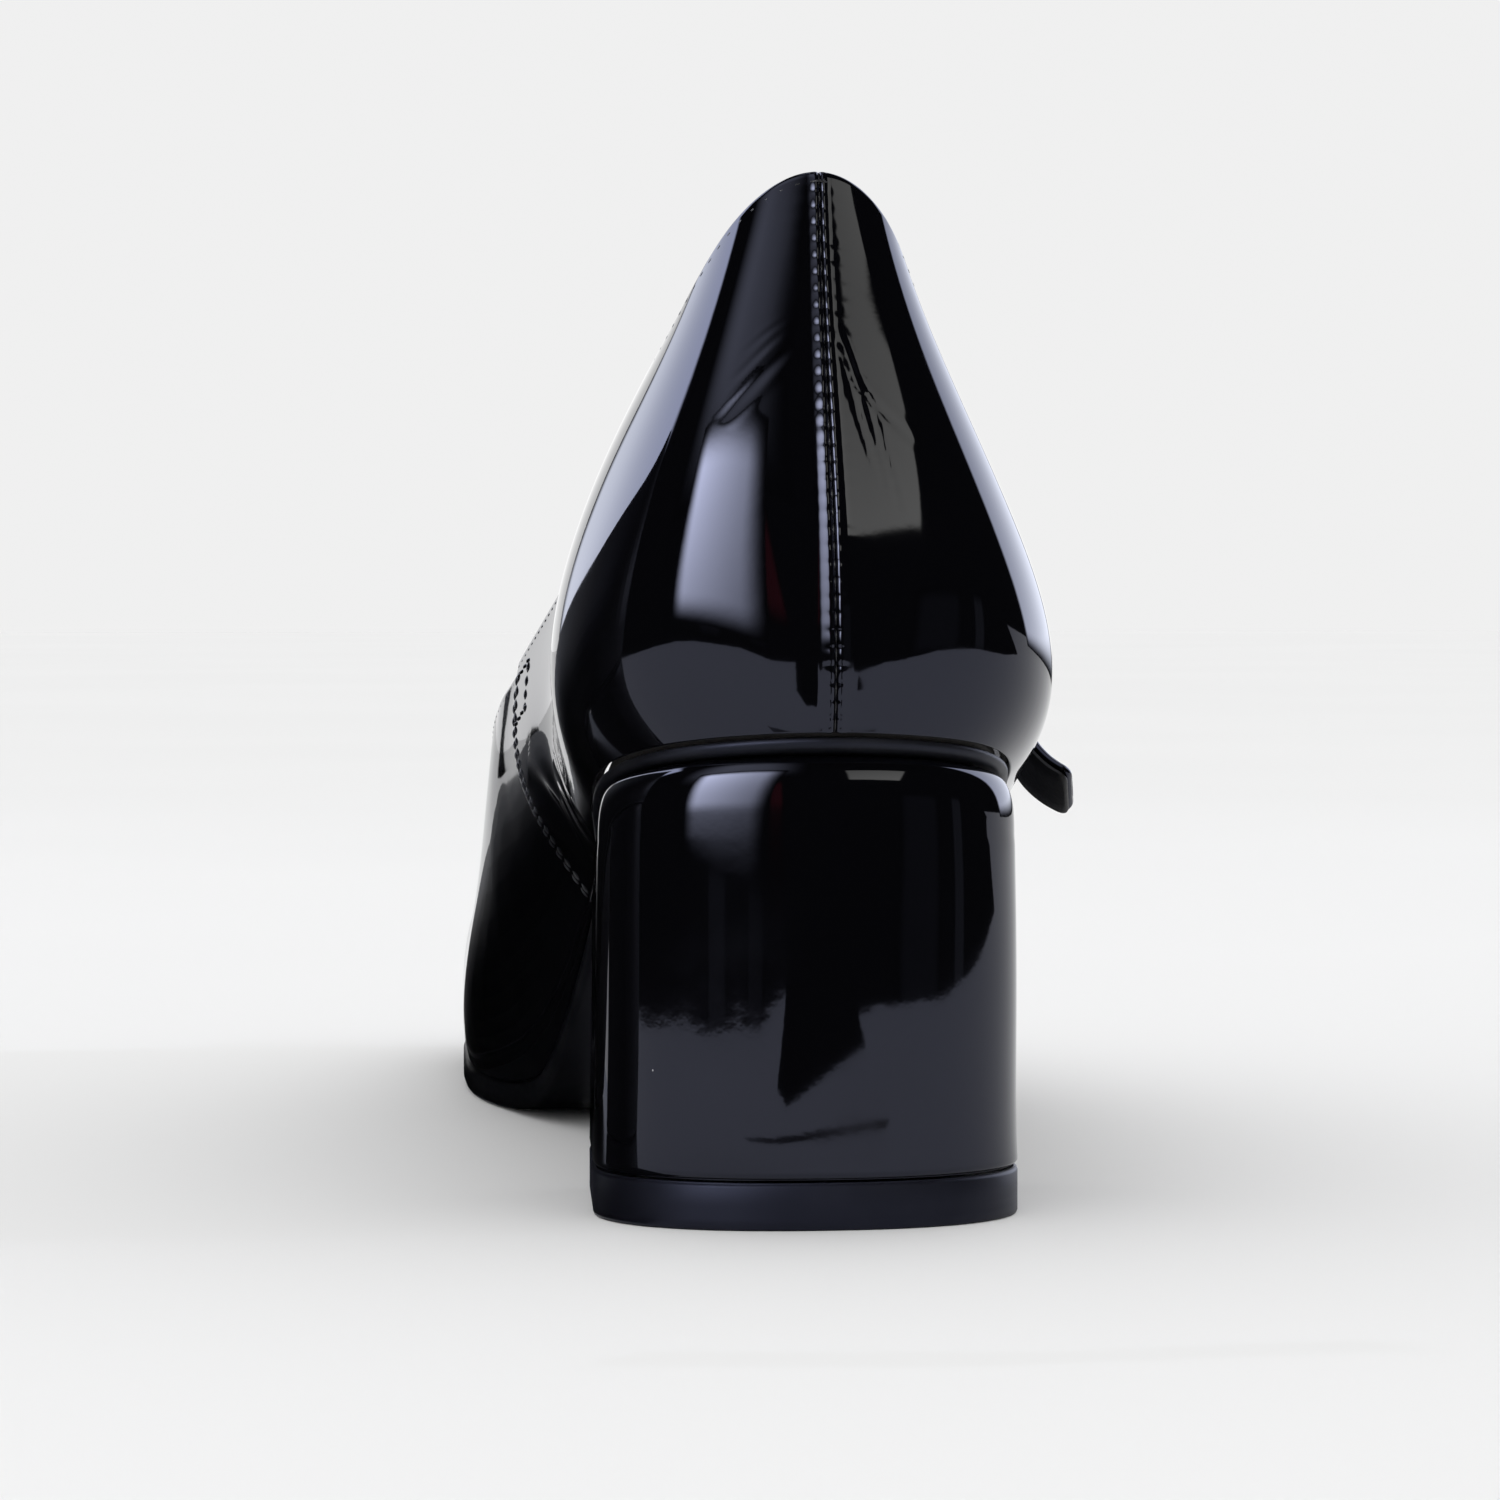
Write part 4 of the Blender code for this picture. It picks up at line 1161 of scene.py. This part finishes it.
def strap_route(count):
    """Middle line of the strap: up inside the medial wall, over the instep and past the buckle."""
    inside = -UPPER_WALL - BAND_CLEARANCE - STRAP_THICK / 2
    route = [on_wall(STRAP_ROW, level, inside) for level in STRAP_START]
    near = route[-1]
    far = on_wall(BUCKLE_PLACE, 1.0, BAR_SEAT + BAR_REACH)
    for turn in ARCH_TURNS:
        share = 0.5 - 0.5 * cos(turn)
        route.append(near + (far - near) * share + STRAP_RISE * STRAP_CROWN * sin(turn) ** ARCH_POWER)
    route.append(far)
    route += [on_wall(BUCKLE_PLACE, level, BAR_SEAT + BAR_REACH + lift) for level, lift in STRAP_END]
    return open_curve(route, count)


def ribbon_frames(route):
    """Direction across the band and out of its face, for each point of its route."""
    way = unit(np.gradient(route, axis=0))
    across = unit(STRAP_AXIS - way * (way @ STRAP_AXIS)[:, None])
    return across, np.cross(way, across)


def buckle_frame():
    """Middles of the hinge bar and of the far bar under the strap, the way between them, and outwards."""
    bar = on_wall(BUCKLE_PLACE, 1.0, BAR_SEAT)
    route = strap_route(STRAP_MARKS)
    over_bar = on_wall(BUCKLE_PLACE, 1.0, BAR_SEAT + BAR_REACH)
    nearest = int(np.argmin(np.linalg.norm(route - over_bar, axis=1)))
    _, face = ribbon_frames(route)
    reach = BUCKLE_LENGTH - BUCKLE_WIRE
    under = route[:nearest] - face[:nearest] * (STRAP_THICK / 2 + GAP + BUCKLE_WIRE / 2)
    far_bar = under[int(np.argmin(np.abs(np.linalg.norm(under - bar, axis=1) - reach)))]
    along = unit(far_bar - bar)
    along = unit(along - STRAP_AXIS * (along @ STRAP_AXIS))
    return bar, bar + along * reach, along, np.cross(STRAP_AXIS, along)


HINGE, FAR_BAR, BUCKLE_WAY, BUCKLE_OUT = buckle_frame()
print("buckle", [round(v * 1000, 1) for v in HINGE - INTO_SHOE], "mm")


# %% Bands and rods
END_THIN = 0.4
PUNCH_SHARP = radians(50)


def ribbon(name, route, half_widths, half_section, finish, end_round):
    """A band along a route. Its section lists (distance from the edge, height), once round one half."""
    across, face = ribbon_frames(route)
    run = run_along(route)
    left = np.minimum(run, run[-1] - run)
    soft = np.sqrt(np.clip(1 - (1 - np.clip(left / end_round, 0, 1)) ** 2, END_THIN ** 2, 1))
    middle = sum(height for _, height in half_section) / len(half_section)
    loops = []
    for i, half in enumerate(np.broadcast_to(half_widths, len(route))):
        side = [(half - min(inward, half), middle + (height - middle) * soft[i])
                for inward, height in half_section]
        section = side + [(-a, b) for a, b in reversed(side)]
        loops.append([route[i] + across[i] * a + face[i] * b for a, b in section])
    return loft(name, np.array(loops), finish)


def loft(name, loops, finish):
    """A closed tube over its loops, with a lid on both ends."""
    count, size = loops.shape[:2]
    faces = grid_faces(count, size, False, True)
    faces += [tuple(range(size)), tuple(range((count - 1) * size, count * size))[::-1]]
    return outwards(bare(name, loops.reshape(-1, 3), faces, finish))


def outwards(piece):
    """Turn every face of a closed piece outwards."""
    work = bmesh.new()
    work.from_mesh(piece.data)
    bmesh.ops.recalc_face_normals(work, faces=work.faces)
    work.to_mesh(piece.data)
    work.free()
    return piece


def rod(name, points, axis, radii, finish, sides=14, closed=False):
    """A round rod through points; axis is square to its way everywhere."""
    points = np.array(points)
    way = (np.roll(points, -1, 0) - np.roll(points, 1, 0)) if closed else np.gradient(points, axis=0)
    up = unit(np.cross(unit(way), axis))
    turns = np.linspace(0, 2 * pi, sides, endpoint=False)
    ring_shape = np.cos(turns)[None, :, None] * np.array(axis) + np.sin(turns)[None, :, None] * up[:, None, :]
    loops = points[:, None, :] + ring_shape * np.broadcast_to(radii, len(points))[:, None, None]
    if not closed:
        return loft(name, loops, finish)
    return outwards(bare(name, loops.reshape(-1, 3), grid_faces(len(points), sides, True, True), finish))


def applied(piece):
    """The piece's mesh as its modifiers leave it; the modifiers are taken off."""
    bpy.context.view_layer.update()
    ready = piece.evaluated_get(bpy.context.evaluated_depsgraph_get())
    mesh = bpy.data.meshes.new_from_object(ready)
    piece.modifiers.clear()
    piece.data = mesh
    return mesh


def punched(piece, punches):
    """Cut punches out of a piece, then take them away."""
    for punch in punches:
        cut = piece.modifiers.new("cut", "BOOLEAN")
        cut.object = punch
        cut.solver = "EXACT"
    applied(piece).set_sharp_from_angle(angle=PUNCH_SHARP)
    for punch in punches:
        bpy.data.objects.remove(punch)
    return piece


# %% Prong line and holes
HOLE_RADIUS = 0.0009
HOLE_PITCH = 0.0055
HOLE_SIDES = 20
PUNCH_REACH = 0.003
PRONG_PAST = 0.6


def prong_line():
    """Where the prong's straight part starts on the hinge bar and ends on the far bar."""
    start = HINGE + BUCKLE_WAY * (BUCKLE_WIRE / 2 + GAP + PRONG_WIRE / 2)
    end = FAR_BAR + BUCKLE_OUT * (BUCKLE_WIRE / 2 + GAP + PRONG_WIRE / 2)
    return start, end + BUCKLE_WAY * BUCKLE_WIRE * PRONG_PAST


def strap_punches(route):
    """The prong's slanting slot, and round holes at an even pitch on both sides of it."""
    start, end = prong_line()
    reach = unit(end - start) * BUCKLE_LENGTH
    middle = (start + end) / 2
    radius = PRONG_WIRE / 2 + GAP
    ends = [middle - reach, middle, middle + reach]
    made = [rod("prong_slot", ends, STRAP_AXIS, radius, backing_leather, HOLE_SIDES)]
    _, face = ribbon_frames(route)
    run = run_along(route)
    spot = run[int(np.argmin(np.linalg.norm(route - middle, axis=1)))]
    for step in (-3, -2, 2):
        at = int(np.argmin(np.abs(run - spot - step * HOLE_PITCH)))
        ends = [route[at] + face[at] * depth for depth in (-PUNCH_REACH, 0, PUNCH_REACH)]
        made.append(rod("hole", ends, STRAP_AXIS, HOLE_RADIUS, backing_leather, HOLE_SIDES))
    return made


# %% Strap
TIP_ROUND = 0.0014
FINE_MARKS = 1201
BODY_POINTS = 150
TIP_POINTS = 12
BACK_INSET = 0.00025
STRAP_TOP = ((0.00035, -0.0001), (0.00008, 0.00002), (0.0, 0.00035), (0.00008, 0.00068), (0.0003, 0.00092),
             (0.0006, 0.00101), (0.0009, 0.00102), (0.00105, 0.00095), (0.0012, 0.00091), (0.00135, 0.00095),
             (0.0015, 0.00103), (0.0020, 0.00106), (0.0030, 0.00109), (0.0043, 0.0011), (0.0022, -0.0001))
STRAP_BACK = ((0.0022, -0.00015), (0.0004, -0.00018), (0.0, -0.0004), (0.0, -0.0008), (0.0004, -0.00108),
              (0.0022, -0.0011))


def strap_halves():
    """Half width of the strap along its route: full, then rounded corners at the tip."""
    fine = strap_route(FINE_MARKS)
    run = run_along(fine)
    body = np.linspace(0, run[-1] - TIP_ROUND, BODY_POINTS)
    tip = run[-1] - TIP_ROUND * (1 - np.sin(np.linspace(0, pi / 2, TIP_POINTS)))
    marks = np.concatenate([body, tip[1:]])
    route = np.column_stack([np.interp(marks, run, fine[:, axis]) for axis in range(3)])
    inside = np.clip(1 - (run[-1] - marks) / TIP_ROUND, 0, 1)
    return route, STRAP_WIDTH / 2 - TIP_ROUND * (1 - np.sqrt(1 - inside ** 2))


strap_line, strap_half = strap_halves()
strap_top = ribbon("strap_top", strap_line, strap_half, STRAP_TOP, patent_strap, 0.0004)
strap_back = ribbon("strap_back", strap_line, strap_half - BACK_INSET, STRAP_BACK, backing_leather, 0.0003)
for layer in (strap_top, strap_back):
    settle(punched(layer, strap_punches(strap_line)), ("strap",), "strap")


# %% Buckle
TIP_SHARE = 0.06
PRONG_TAPER = 0.22


def frame_loop():
    """Round the buckle's frame, with turned corners."""
    half_length = (BUCKLE_LENGTH - BUCKLE_WIRE) / 2
    middle = (HINGE + FAR_BAR) / 2
    points = []
    for corner, (a, b) in enumerate(((1, 1), (-1, 1), (-1, -1), (1, -1))):
        for angle in np.radians(np.linspace(0, 90, 10) + 90 * corner):
            side = a * (FRAME_HALF_WIDTH - BUCKLE_CORNER) + BUCKLE_CORNER * cos(angle)
            length = b * (half_length - BUCKLE_CORNER) + BUCKLE_CORNER * sin(angle)
            points.append(middle + STRAP_AXIS * side + BUCKLE_WAY * length)
    return points


def prong_path():
    """Round the hinge bar and straight on to the far bar, with the radius at each point."""
    start, end = prong_line()
    radius = BUCKLE_WIRE / 2 + GAP + PRONG_WIRE / 2
    hook = [HINGE - BUCKLE_OUT * radius * cos(turn) + BUCKLE_WAY * radius * sin(turn)
            for turn in np.radians(np.linspace(10, 80, 8))]
    round_end = 1 - TIP_SHARE * (1 - np.sin(np.linspace(0.2, pi / 2, 7)))
    shares = np.concatenate([np.linspace(0, 1 - TIP_SHARE, 12), round_end])
    straight = [start + (end - start) * share for share in shares]
    taper = 1 - PRONG_TAPER * shares
    tip = np.sqrt(np.clip(1 - np.clip((shares - 1 + TIP_SHARE) / TIP_SHARE, 0, 1) ** 2, 0.02, 1))
    radii = PRONG_WIRE / 2 * np.concatenate([np.ones(len(hook)), taper * tip])
    return hook + straight, radii


frame_ring = rod("buckle_ring", frame_loop(), BUCKLE_OUT, BUCKLE_WIRE / 2, buckle_metal, 16, True)
settle(frame_ring, ("buckle_frame",), "buckle")
prong_points, prong_radii = prong_path()
prong = rod("buckle_tongue", prong_points, STRAP_AXIS, prong_radii, buckle_metal)
settle(prong, ("buckle_prong",), "buckle")


# %% Leather loop that holds the buckle
TAB_SLOT_WIDTH = PRONG_WIRE + 4 * GAP
TAB_UP = (0.70, 0.80, 0.90)
TAB_TURNS = np.radians((0, 30, 60, 90, 120, 150, 180, 205))
TAB_DOWN = (0.86, 0.78, 0.70)
TAB_POINTS = 110
TAB_SECTION = ((0.0012, -0.0004), (0.0003, -0.0004), (0.00006, -0.00028), (0.0, 0.0), (0.00006, 0.00026),
               (0.00025, 0.00036), (0.0007, 0.00038), (0.0009, 0.00033), (0.0011, 0.00038), (0.0018, 0.0004))


def tab_route():
    radius = BUCKLE_WIRE / 2 + GAP + TAB_THICK / 2
    route = [on_wall(BUCKLE_PLACE, level, TAB_SEAT) for level in TAB_UP]
    for turn in TAB_TURNS:
        route.append(HINGE - BUCKLE_OUT * radius * cos(turn) + BUCKLE_WAY * radius * sin(turn))
    route += [on_wall(BUCKLE_PLACE, level, TAB_SEAT + TAB_THICK + GAP) for level in TAB_DOWN]
    route = np.array(route)
    route -= STRAP_AXIS * ((route - HINGE) @ STRAP_AXIS)[:, None]
    return open_curve(route, TAB_POINTS)


def box_punch(name, centre, sides):
    """A box; its sides are three vectors as long as the box is."""
    points = [centre + np.array(shares) @ sides for shares in product((-0.5, 0.5), repeat=3)]
    faces = [(0, 1, 3, 2), (4, 6, 7, 5), (0, 4, 5, 1), (2, 3, 7, 6), (0, 2, 6, 4), (1, 5, 7, 3)]
    return outwards(bare(name, points, faces, backing_leather))


tab_line = tab_route()
tab = ribbon("buckle_loop", tab_line, TAB_WIDTH / 2, TAB_SECTION, patent_strap, 0.0003)
slot_sides = (BUCKLE_OUT * TAB_SLOT_DEPTH, STRAP_AXIS * TAB_SLOT_WIDTH, BUCKLE_WAY * TAB_SLOT_LENGTH)
slot_punch = box_punch("tab_slot", HINGE + BUCKLE_WAY * TAB_SLOT_AHEAD, slot_sides)
settle(punched(tab, [slot_punch]), ("buckle_tab",), "strap")

# %% [markdown]
# ## Thread
#
# Each row of stitches is a path of points with a direction out of the leather. One node group walks along
# such paths at the stitch pitch and lays a short bowed thread at every step, its two ends sunk in.


# %% Node group that sews
SEWING_SIZES = ("Pitch", "Stitch", "Thread", "Sink")


def sewing():
    tree = bpy.data.node_groups.new("sewing", "GeometryNodeTree")
    face = tree.interface
    face.new_socket("Paths", in_out="INPUT", socket_type="NodeSocketGeometry")
    for name in SEWING_SIZES:
        face.new_socket(name, in_out="INPUT", socket_type="NodeSocketFloat")
    face.new_socket("Finish", in_out="INPUT", socket_type="NodeSocketMaterial")
    face.new_socket("Threads", in_out="OUTPUT", socket_type="NodeSocketGeometry")
    given = tree.nodes.new("NodeGroupInput")
    sizes = {name: Socket(tree, given.outputs[name]) for name in (*SEWING_SIZES, "Finish")}
    paths = Socket(tree, given.outputs["Paths"])
    line = paths.node("GeometryNodeMeshToCurve", {"Mesh": paths})
    spots = line.node("GeometryNodeCurveToPoints", {"Curve": line, "Length": sizes["Pitch"]}, mode="LENGTH")
    tangent = Socket(tree, spots.output.node.outputs["Tangent"])
    out = line.node("GeometryNodeInputNamedAttribute", {"Name": "out"}, data_type="FLOAT_VECTOR")
    turn = line.node("FunctionNodeAxesToRotation", {"Primary Axis": tangent, "Secondary Axis": out},
                     primary_axis="X", secondary_axis="Z")
    half = sizes["Stitch"] * 0.5
    low = sizes["Sink"] * -1
    ends = [line.node("ShaderNodeCombineXYZ", {"X": x, "Z": low}) for x in (half * -1, half)]
    crown = line.node("ShaderNodeCombineXYZ", {"Z": sizes["Thread"] * 0.9 + sizes["Sink"]})
    bow = line.node("GeometryNodeCurveQuadraticBezier",
                    {"Start": ends[0], "Middle": crown, "End": ends[1], "Resolution": 7})
    around = line.node("GeometryNodeCurvePrimitiveCircle", {"Resolution": 6, "Radius": sizes["Thread"] * 0.5})
    thread = line.node("GeometryNodeCurveToMesh", {"Curve": bow, "Profile Curve": around, "Fill Caps": True})
    laid = line.node("GeometryNodeInstanceOnPoints", {"Points": spots, "Instance": thread, "Rotation": turn})
    real = line.node("GeometryNodeRealizeInstances", {"Geometry": laid})
    dyed = line.node("GeometryNodeSetMaterial", {"Geometry": real, "Material": sizes["Finish"]})
    result = tree.nodes.new("NodeGroupOutput")
    tree.links.new(dyed.output, result.inputs["Threads"])
    return tree


SEWING = sewing()


def sewn(name, rows, finish, *sizes):
    """Stitches along rows of (points, outward directions), as one piece, in the four sewing sizes."""
    points, outs, edges = [], [], []
    for line, out in rows:
        edges += [(len(points) + i, len(points) + i + 1) for i in range(len(line) - 1)]
        points += (np.asarray(line) - INTO_SHOE).tolist()
        outs += np.asarray(out).tolist()
    mesh = new_mesh(name, points, [], edges)
    mesh.attributes.new("out", "FLOAT_VECTOR", "POINT").data.foreach_set("vector", np.array(outs).ravel())
    made = placed(name, mesh)
    modifier = made.modifiers.new("sewing", "NODES")
    modifier.node_group = SEWING
    values = {**dict(zip(SEWING_SIZES, sizes)), "Finish": finish}
    for item in SEWING.interface.items_tree:
        if item.name in values:
            modifier[item.identifier] = values[item.name]
    applied(made).shade_smooth()
    settle(made)


# %% Rows of stitches on the upper
SEAM_THREAD_LOW = 0.0008
SEAM_THREAD = (STITCH_PITCH, 0.0016, 0.00036, 0.00012)
UPPER_THREAD = (STITCH_PITCH, 0.0016, 0.00027, 0.00012)
STRAP_THREAD = (0.0018, 0.00145, 0.00028, 0.00012)
TOPLINE_LOW = -0.00018
TOPLINE_STEP = 0.03
FACE_LOW = -0.00002
SEAM_LEVELS = np.linspace(0.015, 0.985, 90)
FOLD_BESIDE = (0.0012, 0.0024)
FOLD_SPAN = 0.1
FOLD_LEVELS = np.linspace(0.03, 0.93, 60)
TOPLINE_ENDS = ((0.06, SEAM_ROW - 0.06), (SEAM_ROW + 0.05, ROUND - SEAM_ROW - 0.05),
                (ROUND - SEAM_ROW + 0.06, ROUND - 0.06))
BOX_ROWS = (5.62, 5.90)
BOX_LEVELS = (0.76, 0.93)
BOX_POINTS = 12
STRAP_BESIDE = 0.0012
STRAP_LIFT = 0.00092
STRAP_ROW_ENDS = (4, -14)


def leather_row(places, levels, lift):
    """Points on the dressed wall, one level for each place, with the directions out of it."""
    places = np.asarray(places, float)
    levels = np.asarray(levels, float)[:, None]
    out = wall_normals(places, levels)[:, 0]
    face = wall_face(places, levels)[:, 0]
    return face + out * (overlay(places) + lift)[:, None], out


def topline_row(first, last, lift):
    places = np.arange(first, last, TOPLINE_STEP)
    return leather_row(places, top_level(places, SKIN_THICK / 2 + TOPLINE_STITCH), lift)


def fold_row(side, beside, lift):
    """A row beside the quarter's folded edge."""
    rows = []
    for level in FOLD_LEVELS:
        pair = np.array([SEAM_ROW - FOLD_SPAN, SEAM_ROW]) * (1 if side == "medial" else -1)
        step = wall_face(pair, [level])[:, 0]
        rows.append(SEAM_ROW - beside * FOLD_SPAN / np.linalg.norm(step[1] - step[0]))
    rows = np.array(rows)
    return leather_row(rows if side == "medial" else ROUND - rows, FOLD_LEVELS, lift)


def box_row(rows, levels, lift):
    """A stitched box where the strap is sewn to the inside of the quarter."""
    corners = [(rows[0], levels[0]), (rows[1], levels[0]), (rows[1], levels[1]), (rows[0], levels[1]),
               (rows[0], levels[0])]
    path = [np.linspace(here, there, BOX_POINTS)[:-1] for here, there in zip(corners, corners[1:])]
    path = np.vstack([*path, [corners[-1]]])
    return leather_row(path[:, 0], path[:, 1], lift)


seam_row = leather_row(np.zeros(len(SEAM_LEVELS)), SEAM_LEVELS, -SEAM_THREAD_LOW)
sewn("stitches_seam", [seam_row], thread_black, *SEAM_THREAD)
upper_rows = [topline_row(first, last, TOPLINE_LOW) for first, last in TOPLINE_ENDS]
upper_rows += [fold_row(side, beside, FACE_LOW) for side in ("medial", "lateral") for beside in FOLD_BESIDE]
upper_rows.append(box_row(BOX_ROWS, BOX_LEVELS, FACE_LOW))
sewn("stitches_upper", upper_rows, thread_black, *UPPER_THREAD)


# %% Rows of stitches on the strap
def band_row(route, beside, lift, first, last):
    """A row along a band, so far from its middle line."""
    across, face = ribbon_frames(route)
    return route[first:last] + across[first:last] * beside + face[first:last] * lift, face[first:last]


strap_rows = []
for side in (-1, 1):
    beside = side * (STRAP_WIDTH / 2 - STRAP_BESIDE)
    strap_rows.append(band_row(strap_line, beside, STRAP_LIFT, *STRAP_ROW_ENDS))
sewn("stitches_strap", strap_rows, thread_black, *STRAP_THREAD)
